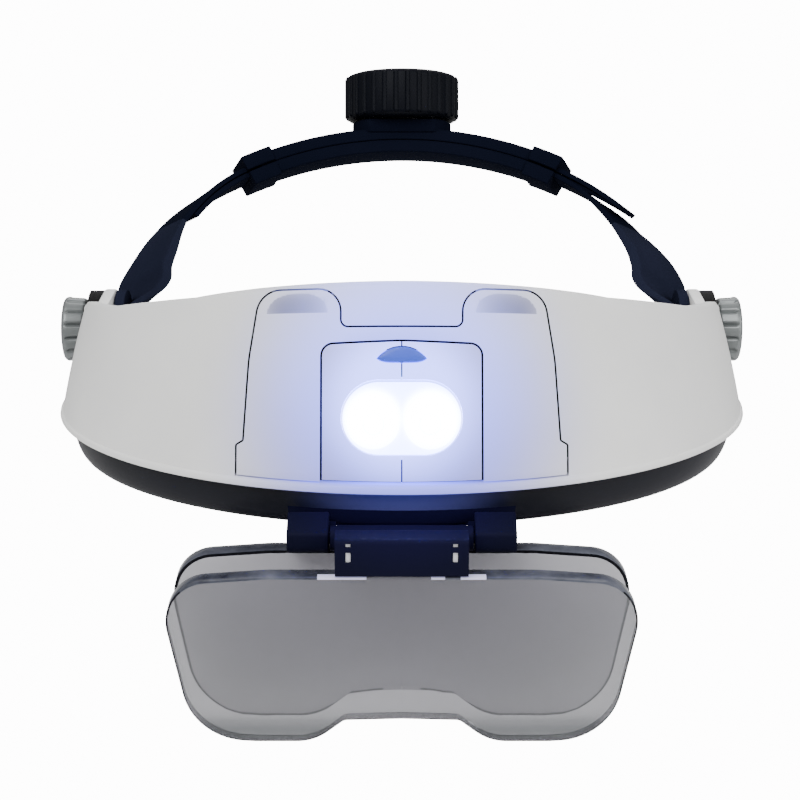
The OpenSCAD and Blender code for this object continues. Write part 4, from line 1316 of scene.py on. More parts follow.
@dataclass
class LowerShell:
    """The navy lower shell with the two hinge cheeks of the lens holder."""

    shop: FinishShop
    curves: VisorCurves = CURVES
    holder_w: float = 34.0
    hinge_w: float = 59.5
    cols: int = 180
    steps: int = 10

    def chin(self, phi: float, q: float, t: float) -> Vector:
        """A point of the shell's outer curve, q from 0 at the lip to 90 underneath, t deep.

        Args:
            phi: angle round the visor in radians.
            q: degrees, 0 at the lip and 90 underneath.
            t: depth in from the outer surface.

        Returns:
            The point in millimetres.
        """
        c = self.curves
        q = radians(q)
        a = c.lip_a - c.wall - 0.6 - 3.6 * (1 - cos(q)) - t
        b = c.lip_b - c.wall - 0.6 - 1.4 * (1 - cos(q)) - t
        return Vector((a * sin(phi), c.lip_yc - b * cos(phi),
                       c.lip_z + 1 - (c.chin_h + 1 - t * sin(q)) * sin(q)))

    def bowl(self) -> Piece:
        """The curved front wall and the floor behind it, as one closed skin."""
        c = self.curves
        outer: Grid = []
        inner: Grid = []
        phis = [radians(mix(-92, 92, j / self.cols)) for j in range(self.cols + 1)]
        for k in range(self.steps + 1):
            q = 90 * k / self.steps
            outer.append([self.chin(p, q, 0) for p in phis])
            inner.append([self.chin(p, q, c.wall) for p in phis])
        for k in range(1, 7):
            out_row, in_row = [], []
            for j, p in enumerate(phis):
                far = Vector(((c.liner_a - 0.3) * sin(p), c.rim_yc - (c.liner_b - 0.3) * cos(p),
                              c.lip_z - c.chin_h))
                out_row.append(outer[self.steps][j].lerp(far, k / 6))
                in_row.append(inner[self.steps][j].lerp(far + Vector((0, 0, c.wall)), k / 6))
            outer.append(out_row)
            inner.append(in_row)
        return Shaper.grids("lower_bowl", outer, inner, 30.0)

    def cheek(self, side: int) -> Piece:
        """One hinge cheek.

        Args:
            side: -1 for the left, 1 for the right.

        Returns:
            The cheek.
        """
        c = self.curves
        y0 = c.face_y0 - 3
        z0 = c.lip_z - 11
        pts = rounded([(y0 - 4, z0 + 3, 1.2), (y0 - 4, z0 - 3.2, 2.5), (y0 + 11, z0 - 3.2, 2),
                       (y0 + 14, c.lip_z - c.chin_h + 1, 0), (y0 + 6, c.lip_z - c.chin_h + 1.2, 0),
                       (y0 + 4.8, z0 + 5.6, 0)], 8)
        cheek = Shaper.prism("cheek", pts, across(side), self.holder_w / 2 + 1.9, self.hinge_w / 2)
        Shaper.soften(cheek, 0.5, 30.0, 3)
        back = [(y0 + 5.0, z0 - 2.9), (y0 + 10.6, z0 - 2.9), (y0 + 12.6, c.lip_z - c.chin_h + 1),
                (y0 + 5.0, c.lip_z - c.chin_h + 1)]
        web = Shaper.prism("web", back, across(side), self.holder_w / 2 + 0.35, self.holder_w / 2 + 3)
        return Shaper.boolean(cheek, [web], "UNION")

    def build(self) -> None:
        """Make the lower shell in place of its CAD node."""
        c = self.curves
        shell = self.bowl()
        x = self.holder_w / 2 + 2.9
        y0, z0 = c.face_y0 + 5, c.lip_z - 11 + 0.15
        wall = Shaper.prism("cross_wall", [(-x, y0), (x, y0), (x, y0 + 2.4), (-x, y0 + 2.4)],
                            lambda a, b, z: Vector((a, b, z)), z0, c.lip_z - c.chin_h + 1)
        Shaper.boolean(shell, [wall, self.cheek(-1), self.cheek(1)], "UNION")
        holes = []
        for side in (-1, 1):
            for px in (46, 76):
                py = c.rim_yc - (c.liner_b + 9) * math.sqrt(1 - (px / (c.liner_a + 4.5)) ** 2)

                def place(a: float, b: float, h: float, x0: float = side * px, y1: float = py) -> Vector:
                    """A point round one screw's axis."""
                    return Vector((x0 + a, y1 + b, c.lip_z - c.chin_h + 0.8 + h))
                holes.append(Shaper.prism("screw_hole", circle(1.3, 15), place, -4, 4))
        Shaper.boolean(shell, holes + [lamp_swing()], "DIFFERENCE")
        Shaper.boolean(shell, [room_wall()], "UNION")
        self.shop.dress(shell, NAVY)
        # painted shade: the hinge area takes the hinge finish, whose much weaker painted lamp light keeps its
        # lit tops dark
        shell.data.materials.append(self.shop.get(HINGE))
        for face in shell.data.polygons:
            p = face.center / MM
            if abs(p.x) < self.hinge_w / 2 + 0.1 and p.z < c.lip_z - 5.3 and p.y < y0 + 3:
                face.material_index = 1
        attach(shell, Body.VISOR.value)
        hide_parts("lower_shell")


@dataclass
class Liner:
    """The smooth inner wall that the forehead pad sits on."""

    shop: FinishShop
    curves: VisorCurves = CURVES

    def build(self) -> None:
        """Make the liner in place of its CAD node."""
        c = self.curves
        cols = 150

        def sheet(t: float) -> Grid:
            """The wall's rows at a depth.

            Args:
                t: depth in from the liner's outer surface.

            Returns:
                Rows of points.
            """
            rows: Grid = []
            for i in range(9):
                row = []
                for j in range(cols + 1):
                    phi = radians(mix(-96, 96, j / cols))
                    row.append(Vector(((c.liner_a - t) * sin(phi), c.rim_yc - (c.liner_b - t) * cos(phi),
                                       mix(c.lip_z - c.chin_h + c.wall + 0.2,
                                           c.rim_height(phi) - c.flange_fall - c.wall - 0.2, i / 8))))
                rows.append(row)
            return rows
        liner = Shaper.grids("inner_wall", sheet(0.35), sheet(0.35 + c.wall - 0.4))
        keep = Shaper.prism("keep", [(-90, -40), (c.rear_y - 6.3, -40), (c.rear_y - 6.3, 12), (-90, 60)],
                            across(), -110, 110)
        Shaper.boolean(liner, [keep], "INTERSECT")
        self.shop.dress(liner, NAVY_DARK)
        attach(liner, Body.VISOR.value)
        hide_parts("inner_liner")


@dataclass
class ForeheadPad:
    """The crowned cloth pad on the liner: swollen by a cloth simulation, then stitched."""

    shop: FinishShop
    curves: VisorCurves = CURVES
    low: float = -8.0
    high: float = 19.0
    reach: float = 52.0
    crown: float = 6.3
    cap_mm: float = 2.2
    stitch_in: float = 4.6
    stitch_w: float = 0.8
    stitch_deep: float = 0.9

    def place(self, phi: float, z: float, t: float) -> Vector:
        """A point at a depth in from the liner."""
        c = self.curves
        return Vector(((c.liner_a - t) * sin(phi), c.rim_yc - (c.liner_b - t) * cos(phi), z))

    def form(self) -> Piece:
        """The pad's closed form, a little slack so that it can swell."""
        c = self.curves
        rows, cols = 16, 90
        front: Grid = []
        back: Grid = []
        for i in range(rows + 1):
            e = 2 * i / rows - 1
            z = mix(self.low + 0.8, self.high - 0.8, i / rows)
            f_row, b_row = [], []
            for j in range(cols + 1):
                f = 2 * j / cols - 1
                phi = radians(mix(-self.reach + 0.6, self.reach - 0.6, j / cols))
                bulge = 1.2 + (self.crown - 1.8) * (1 - e ** 4) ** 0.5 * (1 - f ** 8) ** 0.5
                f_row.append(self.place(phi, z, c.wall + 0.3 + bulge))
                b_row.append(self.place(phi, z, c.wall + 0.35))
            front.append(f_row)
            back.append(b_row)
        return Shaper.grids("forehead_cushion", back, front, 60.0)

    def swell(self, pad: Piece) -> None:
        """Blow the pad up with a cloth simulation and keep each point within the cap.

        Args:
            pad: the pad's object.
        """
        remesh = pad.modifiers.new("voxels", "REMESH")
        remesh.mode = "VOXEL"
        remesh.voxel_size = 2.2 * MM
        Shaper.apply(pad)
        start = [v.co.copy() for v in pad.data.vertices]
        cloth = pad.modifiers.new("cloth", "CLOTH")
        cloth.settings.use_pressure = True
        cloth.settings.uniform_pressure_force = 4.0
        cloth.settings.effector_weights.gravity = 0.0
        cloth.settings.quality = 6
        cloth.settings.tension_stiffness = 20
        cloth.settings.compression_stiffness = 20
        cloth.settings.bending_stiffness = 2
        scene = bpy.context.scene
        for frame in range(1, 21):
            scene.frame_set(frame)
        Shaper.apply(pad)
        scene.frame_set(1)
        c = self.curves
        seat = c.wall + 0.32
        for v, s in zip(pad.data.vertices, start):
            move = v.co - s
            if move.length > self.cap_mm * MM:
                v.co = s + move.normalized() * self.cap_mm * MM
            p = v.co / MM
            phi = math.atan2(p.x / c.liner_a, -(p.y - c.rim_yc) / c.liner_b)
            if (p.x / (c.liner_a - seat)) ** 2 + ((p.y - c.rim_yc) / (c.liner_b - seat)) ** 2 > 1:
                v.co = self.place(phi, p.z, seat) * MM
        smooth = pad.modifiers.new("soft", "SUBSURF")
        smooth.levels = smooth.render_levels = 1
        Shaper.apply(pad)
        Shaper.smooth(pad, 80.0)

    def build(self) -> None:
        """Make the pad in place of its CAD node."""
        pad = self.form()
        self.swell(pad)
        self.seam(pad)
        self.shop.dress(pad, FOAM)
        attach(pad, Body.VISOR.value)
        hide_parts("forehead_pad")

    def seam(self, pad: Piece) -> None:
        """Draw in a sewn line round the pad, a little inside its edge.

        Args:
            pad: the pad's object.
        """
        c = self.curves
        for v in pad.data.vertices:
            p = v.co / MM
            phi = math.degrees(math.atan2(p.x / c.liner_a, -(p.y - c.rim_yc) / c.liner_b))
            from_edge = min(p.z - self.low, self.high - p.z, (self.reach - abs(phi)) * 1.2)
            dip = math.exp(-((from_edge - self.stitch_in) / self.stitch_w) ** 2)
            away = Vector((p.x / c.liner_a, (p.y - c.rim_yc) / c.liner_b, 0))
            if away.length < 0.93:
                v.co += away.normalized() * dip * self.stitch_deep * MM


# The lens plates


@dataclass
class LensPlate:
    """One clip-in lens plate: a clear slab with chamfered edges and two bulging lenses."""

    shop: FinishShop
    name: str
    node: str
    body: Body
    front_y: float
    top_z: float
    tab_y: float
    half: float = 60.6
    height: float = 47.6
    thick: float = 5.4
    dome: float = 1.1
    lens_r: float = 23.0
    # stretches of the top edge that take the painted glow
    lit: tuple[float, ...] = (-21.5, -9.0, 7.5, 11.0, 15.0, 21.5)
    lit_deep: float = 2.0
    notch_half: float = 5.0
    # where the painted dark band near the plate's foot starts, ends and fades
    shade_cuts: tuple[float, ...] = (1.2, 2.6, 4.2, 6.0, 8.0)
    shade_fall: float = 4.2
    shade_rise: float = 3.8
    shade_foot: float = 3.0

    def outline(self) -> Outline:
        """The plate's outline, across and down."""
        w, h = self.half, self.height
        right = [(0, 0, 0), (35, 0, 30), (w - 3.2, -1.6, 11), (w + 0.6, -12, 14), (w - 6, -h + 1, 17),
                 (w - 22, -h, 20), (23.0, -h, 13), (15, -h + 6.3, 2.5), (0, -h + 6.7, 0)]
        pts = rounded(right, 14)
        left = [(-x, z) for x, z in reversed(pts)]
        return pts + left[1:-1]

    def build(self) -> None:
        """Make the plate in place of its CAD node."""
        pts = self.outline()
        brim = 0.55 if self.body is Body.FRONT_PLATE else 0.9
        levels = ((brim, 0.0), (0.14, 0.18), (0.0, 0.6), (0.0, self.thick - 0.6), (0.14, self.thick - 0.18),
                  (0.55, self.thick))
        rings = [[self.spot(x, z, y) for x, z in offset_outline(pts, -inset)] for inset, y in levels]
        plate = Shaper.tube(self.name, rings, 22.0)
        tab = Shaper.prism("tab", [(-15.1, -1), (15.1, -1), (15.1, 3.2), (-15.1, 3.2)], self.spot,
                           self.tab_y, self.tab_y + 3.2)
        domes = [self.lens(side, face) for side in (-1, 1) for face in (-1, 1)]
        Shaper.boolean(plate, domes + [tab], "UNION", 22.0)
        Shaper.boolean(plate, [self.middle_line()], "DIFFERENCE", 22.0)
        self.cut(plate)
        self.dress(plate)
        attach(plate, self.body.value)
        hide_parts(self.node)

    def spot(self, x: float, z: float, y: float) -> Vector:
        """A point of the plate: across, up from its top edge and in from its front."""
        return Vector((x, self.front_y + y, self.top_z + z))

    def middle_line(self) -> Piece:
        """The fine groove up the middle, where the two lenses' moulds meet."""
        ring = [(-0.22, -0.3), (0.22, -0.3), (0.0, 0.12)]
        return Shaper.prism("groove", ring, lambda x, y, z: self.spot(x, z, y), -self.height + 11.0, -3.0)

    def cut(self, plate: Piece) -> None:
        """Cut the plate's mesh where its painted shade and painted glow change, and store how much of the
        painted dark band near its foot a point takes.

        Args:
            plate: the plate's object.
        """
        low, top = self.top_z - self.height, self.shade_cuts[-1]
        planes = [((x, 0, 0), (1, 0, 0)) for x in (*self.lit, -self.notch_half, self.notch_half)]
        planes += [((0, 0, low + h), (0, 0, 1)) for h in self.shade_cuts]
        planes.append(((0, self.front_y + self.lit_deep, 0), (0, 1, 0)))
        with edited(plate.data) as bm:
            for spot, normal in planes:
                bmesh.ops.bisect_plane(bm, geom=bm.verts[:] + bm.edges[:] + bm.faces[:], dist=1e-7,
                                       plane_co=Vector(spot) * MM, plane_no=normal)
        # the 'hollow' mark holds each point's share of the painted dark band
        mark = plate.data.attributes.new("hollow", "FLOAT", "POINT")
        for i, v in enumerate(plate.data.vertices):
            h = v.co.z / MM - low
            fade_up, fade_down = (top - h) / self.shade_rise, (h + self.shade_foot) / self.shade_fall
            mark.data[i].value = max(0.0, min(1.0, fade_up, fade_down))

    def dress(self, plate: Piece) -> None:
        """Give the plate its clear body, a painted dark reflection on its upper edge, painted shade on its
        chamfers and a painted glow on the edge that the lamp lights.

        Args:
            plate: the plate's object.
        """
        front = self.body is Body.FRONT_PLATE
        self.shop.dress(plate, LENS if front else LENS_REAR)
        for finish in (LENS_EDGE_REFLECTION, LENS_CHAMFER_SHADE, LENS_PAINTED_GLOW):
            plate.data.materials.append(self.shop.get(finish))
        for face in plate.data.polygons:
            n, p = face.normal, face.center / MM
            flat = abs(n.y) >= 0.985
            near_edge = self.half - abs(p.x) < 16 or abs(p.z - self.top_z + 24) > 14
            if flat or not near_edge or (abs(p.x) < self.notch_half and n.z < 0.3):
                continue
            # upper edge faces: painted glow where the lamp lights them, painted dark reflection elsewhere
            if n.z > 0.3 and p.z > self.top_z - 20:
                lit = any(a < p.x < b for a, b in zip(self.lit[::2], self.lit[1::2]))
                lit = lit and p.y < self.front_y + self.lit_deep
                face.material_index = 3 if front and lit else 0 if front and abs(p.x) < -self.lit[1] else 1
            # chamfers facing forward: painted dark lines
            elif n.y < -0.12:
                face.material_index = 2

    def lens(self, side: int, face: int) -> Piece:
        """One bulging face of a lens.

        Args:
            side: -1 or 1, the eye that it is for.
            face: -1 for the plate's front, 1 for its back.

        Returns:
            The cap, rooted a little way in the plate.
        """
        rings, steps = 10, 72
        cx, cz = side * self.half / 2, -self.height / 2
        base = 0.0 if face < 0 else self.thick
        verts: list[Vector] = [Vector((cx, self.front_y + base + face * self.dome, self.top_z + cz))]
        for k in range(1, rings + 1):
            r = self.lens_r * k / rings
            y = base + face * self.dome * (1 - (k / rings) ** 2)
            verts += [Vector((cx + r * cos(2 * pi * i / steps), self.front_y + y,
                              self.top_z + cz + r * sin(2 * pi * i / steps))) for i in range(steps)]
        verts += [v - Vector((0, face * 0.4, 0)) for v in verts[-steps:]]
        faces: Faces = [(0, 1 + i, 1 + (i + 1) % steps) for i in range(steps)]
        for k in range(rings):
            a, b = 1 + k * steps, 1 + (k + 1) * steps
            faces += [(a + i, b + i, b + (i + 1) % steps, a + (i + 1) % steps) for i in range(steps)]
        last = 1 + rings * steps
        faces.append(tuple(range(last + steps - 1, last - 1, -1)))
        return Shaper.solid("dome", verts, faces)


# The headband


@dataclass
class BandCurves:
    """The band's middle line, drawn flat and turned up about the temple axis."""

    tilt: float = 45.0
    strap_r: float = 107.0
    side_r: float = 57.5
    depth: float = 65.5
    bend_at: float = 28.0
    arm_start: float = 55.0
    rack_end: float = 40.5
    tail: float = 51.0
    cone: float = 25.0
    twist: float = 7.0
    strap_w: float = 19.0
    strap_t: float = 1.8
    layer: float = 2.2

    @property
    def arm_mid(self) -> float:
        """Middle of the arm's thickness, beside the visor's ear."""
        return CURVES.ear_x - CURVES.ear_t - CURVES.arm_gap - CURVES.arm_t / 2

    def world(self, x: float, y: float, w: float) -> Vector:
        """From the flat band's frame to the object's."""
        c, s = cos(radians(self.tilt)), sin(radians(self.tilt))
        return Vector((x, y * c - w * s, y * s + w * c))

    def line(self, heading: float, off: float) -> tuple[float, float]:
        """A point of the band's middle line, in the flat band's frame.

        Args:
            heading: degrees from the middle of the back.
            off: how far the line is moved out.

        Returns:
            Its place to the side and to the back.
        """
        a = radians(heading)
        b = radians(self.bend_at)
        ring = self.depth - self.strap_r
        if heading <= self.bend_at:
            return (self.strap_r + off) * sin(a), ring + (self.strap_r + off) * cos(a)
        cx = (self.strap_r - self.side_r) * sin(b)
        cy = ring + (self.strap_r - self.side_r) * cos(b)
        return cx + (self.side_r + off) * sin(a), cy + (self.side_r + off) * cos(a)

    def lean(self, heading: float) -> float:
        """How far the band leans in at a heading: more and more past the housing."""
        t = min(1.0, max(0.0, (heading - self.bend_at) / (self.arm_start - self.bend_at)))
        return self.cone + self.twist * t * t * (3 - 2 * t)

    def sweep(self, name: str, sections: Sequence[Sequence[float]], mirror: int, round_mm: float = 0.45
              ) -> Piece:
        """A band with rounded edges.

        Args:
            name: name of the object.
            sections: place to the side and to the back, width, lean, thickness and heading of each section.
            mirror: 1 or -1, the side that the band runs to.
            round_mm: radius of its edges.

        Returns:
            The band as a closed solid.
        """
        steps = 12
        rings: Grid = []
        for x, y, width, lean, thick, heading in sections:
            m = (sin(radians(heading)), cos(radians(heading)))
            r = min(round_mm, thick / 2 - 0.05)
            side = [(thick / 2, mix(-width / 2 + r, width / 2 - r, k / steps)) for k in range(steps + 1)]
            side += [(thick / 2 - r * (1 - cos(a)), width / 2 - r + r * sin(a)) for a in (0.52, 1.05, 1.57)]
            side += [(-thick / 2 + r * (1 - sin(a)), width / 2 - r + r * cos(a)) for a in (0.0, 0.52, 1.05)]
            prof = side + [(-out, -w) for out, w in side]
            slope = math.tan(radians(lean))
            rings.append([self.world(mirror * (x + m[0] * (out - w * slope)), y + m[1] * (out - w * slope), w)
                          for out, w in prof])
        return Shaper.tube(name, rings)

    def at_strap(self, heading: float, r: float, x: float, y: float, n: float, mirror: int) -> Vector:
        """A point in the strap's own frame.

        Args:
            heading: degrees from the middle of the back.
            r: the strap's radius.
            x: distance along the strap.
            y: distance up its width.
            n: distance straight out of it.
            mirror: 1 or -1, the side that the strap runs out to.

        Returns:
            The point in millimetres.
        """
        y += (r - self.strap_r) * sin(radians(self.cone))
        t = radians(self.cone - 90)
        y2, z2 = -y * cos(t) - n * sin(t), -y * sin(t) + n * cos(t)
        a = radians(-heading)
        px, py = x, r + y2
        bx = px * cos(a) - py * sin(a)
        by = px * sin(a) + py * cos(a)
        return self.world(mirror * bx, self.depth - self.strap_r + by, z2)


BAND_LINE = BandCurves()


@dataclass
class Headband:
    """Both stiff arms and both toothed straps."""

    shop: FinishShop
    curves: BandCurves = field(default_factory=BandCurves)

    def arm_sections(self, off: float) -> list[tuple[float, ...]]:
        """Smooth sections from the strap's end to the temple boss.

        Args:
            off: how far the strap's end is moved out.

        Returns:
            The sections, as sweep takes them.
        """
        c = self.curves
        t = CURVES.arm_t
        keys = [(*c.line(c.arm_start, off), c.strap_w + 1, c.lean(c.arm_start) + 1, c.strap_t, c.arm_start),
                (*c.line(60, off * 0.6), c.strap_w + 2, c.cone + 9.5, 2.4, 60),
                (*c.line(67, 0), c.strap_w + 3, c.cone + 11, t, 67),
                (*c.line(74, 0), c.strap_w + 4.4, c.cone + 12, t, 74),
                (c.arm_mid - 5.4, 12.8, c.strap_w + 5, c.cone + 11, t, 76),
                (c.arm_mid - 3.9, 7.8, c.strap_w + 5, c.cone + 6, t, 80),
                (c.arm_mid - 1.4, 2.6, c.strap_w + 4, 16, t, 85), (c.arm_mid, -3, c.strap_w + 2, 0, t, 90)]
        return smooth_rows(keys, 6)

    def arm(self, side: int) -> None:
        """One arm with its round temple boss.

        Args:
            side: -1 for the left, 1 for the right.
        """
        c = self.curves
        band = c.sweep("arm", self.arm_sections(-side * c.layer / 2), side)
        x0, x1 = c.arm_mid - CURVES.arm_t / 2, c.arm_mid + CURVES.arm_t / 2
        boss = Shaper.soften(Shaper.prism("boss", circle(11.8, 5), across(side), x0, x1), 0.4, 30)
        cut = Shaper.prism("hole", circle(2.5, 10), across(side), x0 - 1, x1 + 1)
        recess = Shaper.prism("recess", circle(4.9, 8), across(side), x0 - 8, x0)
        Shaper.boolean(band, [recess], "DIFFERENCE")
        Shaper.boolean(band, [boss], "UNION")
        Shaper.boolean(band, [cut], "DIFFERENCE")
        band.name = "left_arm" if side < 0 else "right_arm"
        self.shop.dress(band, ARM)
        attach(band, Body.BAND.value)
        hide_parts("arm_left" if side < 0 else "arm_right")

    def strap_sections(self, off: float, edge: int) -> list[tuple[float, ...]]:
        """Sections of a strap from its arm, over the back, to its free end.

        Args:
            off: how far the strap is moved out.
            edge: 1 for the strap that lies outside, -1 for the one inside.

        Returns:
            The sections, as sweep takes them.
        """
        c = self.curves
        last = c.rack_end if edge > 0 else c.tail
        count = 150
        out = []
        for i in range(count + 1):
            a = mix(-c.arm_start, last, i / count)
            past = max(0.0, -a - 41) / 14
            if a < 0:
                x, y = c.line(-a, off)
                x = -x
            elif edge > 0:
                r = c.strap_r + off
                x, y = r * sin(radians(a)), c.depth - c.strap_r + r * cos(radians(a))
            else:
                x, y = c.line(a, off + 0.1 if a > c.bend_at else off)
            out.append((x, y, c.strap_w + past, c.lean(abs(a)) + past, c.strap_t, a))
        return out

    def strap(self, side: int) -> None:
        """One strap: the left one lies outside, the right one inside.

        Args:
            side: -1 for the left, 1 for the right.
        """
        c = self.curves
        edge = 1 if side < 0 else -1
        off = edge * c.layer / 2
        mirror = 1 if side < 0 else -1
        strap = c.sweep("strap", self.strap_sections(off, edge), mirror, 0.4)
        r = c.strap_r + off
        last = c.rack_end - 2.5 if edge > 0 else c.bend_at - 1
        up, down = (6.25, 6.6) if edge > 0 else (6.6, 6.25)
        cols = 40
        front: Grid = []
        back: Grid = []
        turns = [mix(-5, last, k / cols) for k in range(cols + 1)]
        for grid, n in ((front, 3.0), (back, -3.0)):
            for y in (-down, up):
                grid.append([c.at_strap(a, r, 0, y, n, mirror) for a in turns])
        Shaper.boolean(strap, [Shaper.grids("slot", front, back)], "DIFFERENCE")
        teeth = RackTeeth(self.shop, c).build(edge, r, mirror)
        Shaper.boolean(strap, [teeth], "UNION")
        strap.name = "left_strap" if side < 0 else "right_strap"
        self.shop.dress(strap, BAND)
        x0, y0 = c.line(c.arm_start, 0)
        x1, y1 = c.line(29, 0)
        start, end = c.world(side * x0, y0, 0) * MM, c.world(side * x1, y1, 0) * MM
        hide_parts("rack_left" if side < 0 else "rack_right")
        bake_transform(strap)

    def build(self) -> None:
        """Make the whole band."""
        for side in (-1, 1):
            self.arm(side)
            self.strap(side)


def smooth_rows(keys: Sequence[Sequence[float]], steps: int) -> list[tuple[float, ...]]:
    """Pass a smooth curve through rows of numbers, with a number of steps between each two.

    Args:
        keys: the rows, all of the same length.
        steps: rows from one key to the next.

    Returns:
        The rows with those between them.
    """
    out: list[tuple[float, ...]] = []
    for i in range(len(keys) - 1):
        p0 = keys[max(0, i - 1)]
        p1, p2 = keys[i], keys[i + 1]
        p3 = keys[min(len(keys) - 1, i + 2)]
        for k in range(steps):
            t = k / steps
            out.append(tuple(0.5 * (2 * b + (c - a) * t + (2 * a - 5 * b + 4 * c - d) * t * t +
                                    (3 * b - a - 3 * c + d) * t ** 3) for a, b, c, d in zip(p0, p1, p2, p3)))
    out.append(tuple(keys[-1]))
    return out


# Geometry Nodes


class NodeRig:
    """Builds a Geometry Nodes tree and turns its result into a plain mesh."""

    def __init__(self, name: str) -> None:
        """Start a tree with one geometry output.

        Args:
            name: name of the tree.
        """
        self.tree = bpy.data.node_groups.new(name, "GeometryNodeTree")
        self.tree.interface.new_socket("Geometry", in_out="OUTPUT", socket_type="NodeSocketGeometry")
        self.enter = self.tree.nodes.new("NodeGroupInput")
        self.leave = self.tree.nodes.new("NodeGroupOutput")
        self.values: dict[str, object] = {}

    def size(self, label: str, kind: str, value: object) -> Socket:
        """Add a named input with its value."""
        socket = self.tree.interface.new_socket(label, in_out="INPUT", socket_type=kind)
        self.values[socket.identifier] = value
        return self.enter.outputs[label]

    def node(self, kind: str, links: dict[str, object] | None = None, **settings: object) -> Node:
        """Add a node, set its options and fill its sockets by name or number.

        Args:
            kind: Blender's name of the node.
            links: sockets or values by input, as feed takes them.
            settings: the node's options.

        Returns:
            The node.
        """
        node = self.tree.nodes.new(kind)
        for key, value in settings.items():
            setattr(node, key, value)
        return feed(self.tree, node, links or {})

    def finish(self, geometry: Socket, material: bpy.types.Material, name: str) -> Piece:
        """Realize, give the material and return the result as a plain mesh object.

        Args:
            geometry: the last geometry socket.
            material: the material of the result.
            name: name of the object.

        Returns:
            The object, with no modifier left on it.
        """
        real = self.node("GeometryNodeRealizeInstances", {"Geometry": geometry})
        dressed = self.node("GeometryNodeSetMaterial",
                            {"Geometry": real.outputs["Geometry"], "Material": material})
        self.tree.links.new(dressed.outputs["Geometry"], self.leave.inputs[0])
        obj = Shaper.link(name, bpy.data.meshes.new(name))
        step = obj.modifiers.new(name, "NODES")
        step.node_group = self.tree
        for identifier, value in self.values.items():
            step[identifier] = value
        Shaper.apply(obj)
        with edited(obj.data) as bm:
            bmesh.ops.remove_doubles(bm, verts=bm.verts, dist=1e-7)
            bmesh.ops.recalc_face_normals(bm, faces=bm.faces)
        return obj

    @staticmethod
    def map_points(obj: Piece, place: Callable[[Vector], Vector]) -> None:
        """Move each point of a mesh to the place that a function gives, both in metres.

        Args:
            obj: the object.
            place: gives a point's new place from its old one.
        """
        for v in obj.data.vertices:
            v.co = place(v.co.copy())
        with edited(obj.data) as bm:
            bmesh.ops.recalc_face_normals(bm, faces=bm.faces)


@dataclass
class RackTeeth:
    """The teeth along one edge of a strap's slot, repeated by Geometry Nodes."""

    shop: FinishShop
    curves: BandCurves
    count: int = 16
    module: float = 1.0
    pitch_r: float = 5.0
    backlash: float = 0.35

    def build(self, edge: int, r: float, mirror: int) -> Piece:
        """Make one strap's teeth.

        Args:
            edge: 1 for teeth that hang from the slot's upper edge, -1 for teeth that stand on its lower one.
            r: the strap's radius in millimetres.
            mirror: 1 or -1, the side that the strap runs out to.

        Returns:
            The teeth as one mesh.
        """
        rig = NodeRig("rack_teeth")
        pitch = pi * self.module
        count = rig.size("Teeth", "NodeSocketInt", self.count)
        step = rig.size("Pitch", FLOAT, pi * self.module * MM)
        deep = rig.size("Tooth Height", FLOAT, 2.55 * MM)
        wide = rig.size("Tooth Width", FLOAT, 1.0 * MM)
        thick = rig.size("Strap Thickness", FLOAT, (self.curves.strap_t - 0.1) * MM)
        offset = rig.node("ShaderNodeCombineXYZ", {"X": step})
        line = rig.node("GeometryNodeMeshLine", {"Count": count, "Offset": offset.outputs[0]}, mode="OFFSET")
        size = rig.node("ShaderNodeCombineXYZ", {"X": wide, "Y": deep, "Z": thick})
        cube = rig.node("GeometryNodeMeshCube", {"Size": size.outputs[0]})
        spots = rig.node("GeometryNodeInstanceOnPoints",
                         {"Points": line.outputs["Mesh"], "Instance": cube.outputs["Mesh"]})
        teeth = rig.finish(spots.outputs["Instances"], self.shop.get(BAND), "teeth")
        tooth_w = pi * self.module / 2 - self.backlash
        tip, root = self.pitch_r - self.module + 0.1, self.pitch_r + 1.25 * self.module + 0.4

        def place(p: Vector) -> Vector:
            """Bend the straight row round the strap and taper each tooth.

            Args:
                p: a point of the straight row, in metres.

            Returns:
                Its place on the strap, in metres.
            """
            i = round(p.x / MM / pitch)
            side = math.copysign(1.0, p.x / MM - i * pitch)
            high = p.y > 0
            half = tooth_w / 2 + (0.45 if high else -0.36)
            y = (root if high else tip) * edge
            heading = math.degrees(self.module * pi / self.curves.strap_r) * (i + 0.5 - 1)
            return self.curves.at_strap(heading, r, side * half, y, p.z / MM, mirror) * MM
        NodeRig.map_points(teeth, place)
        return teeth


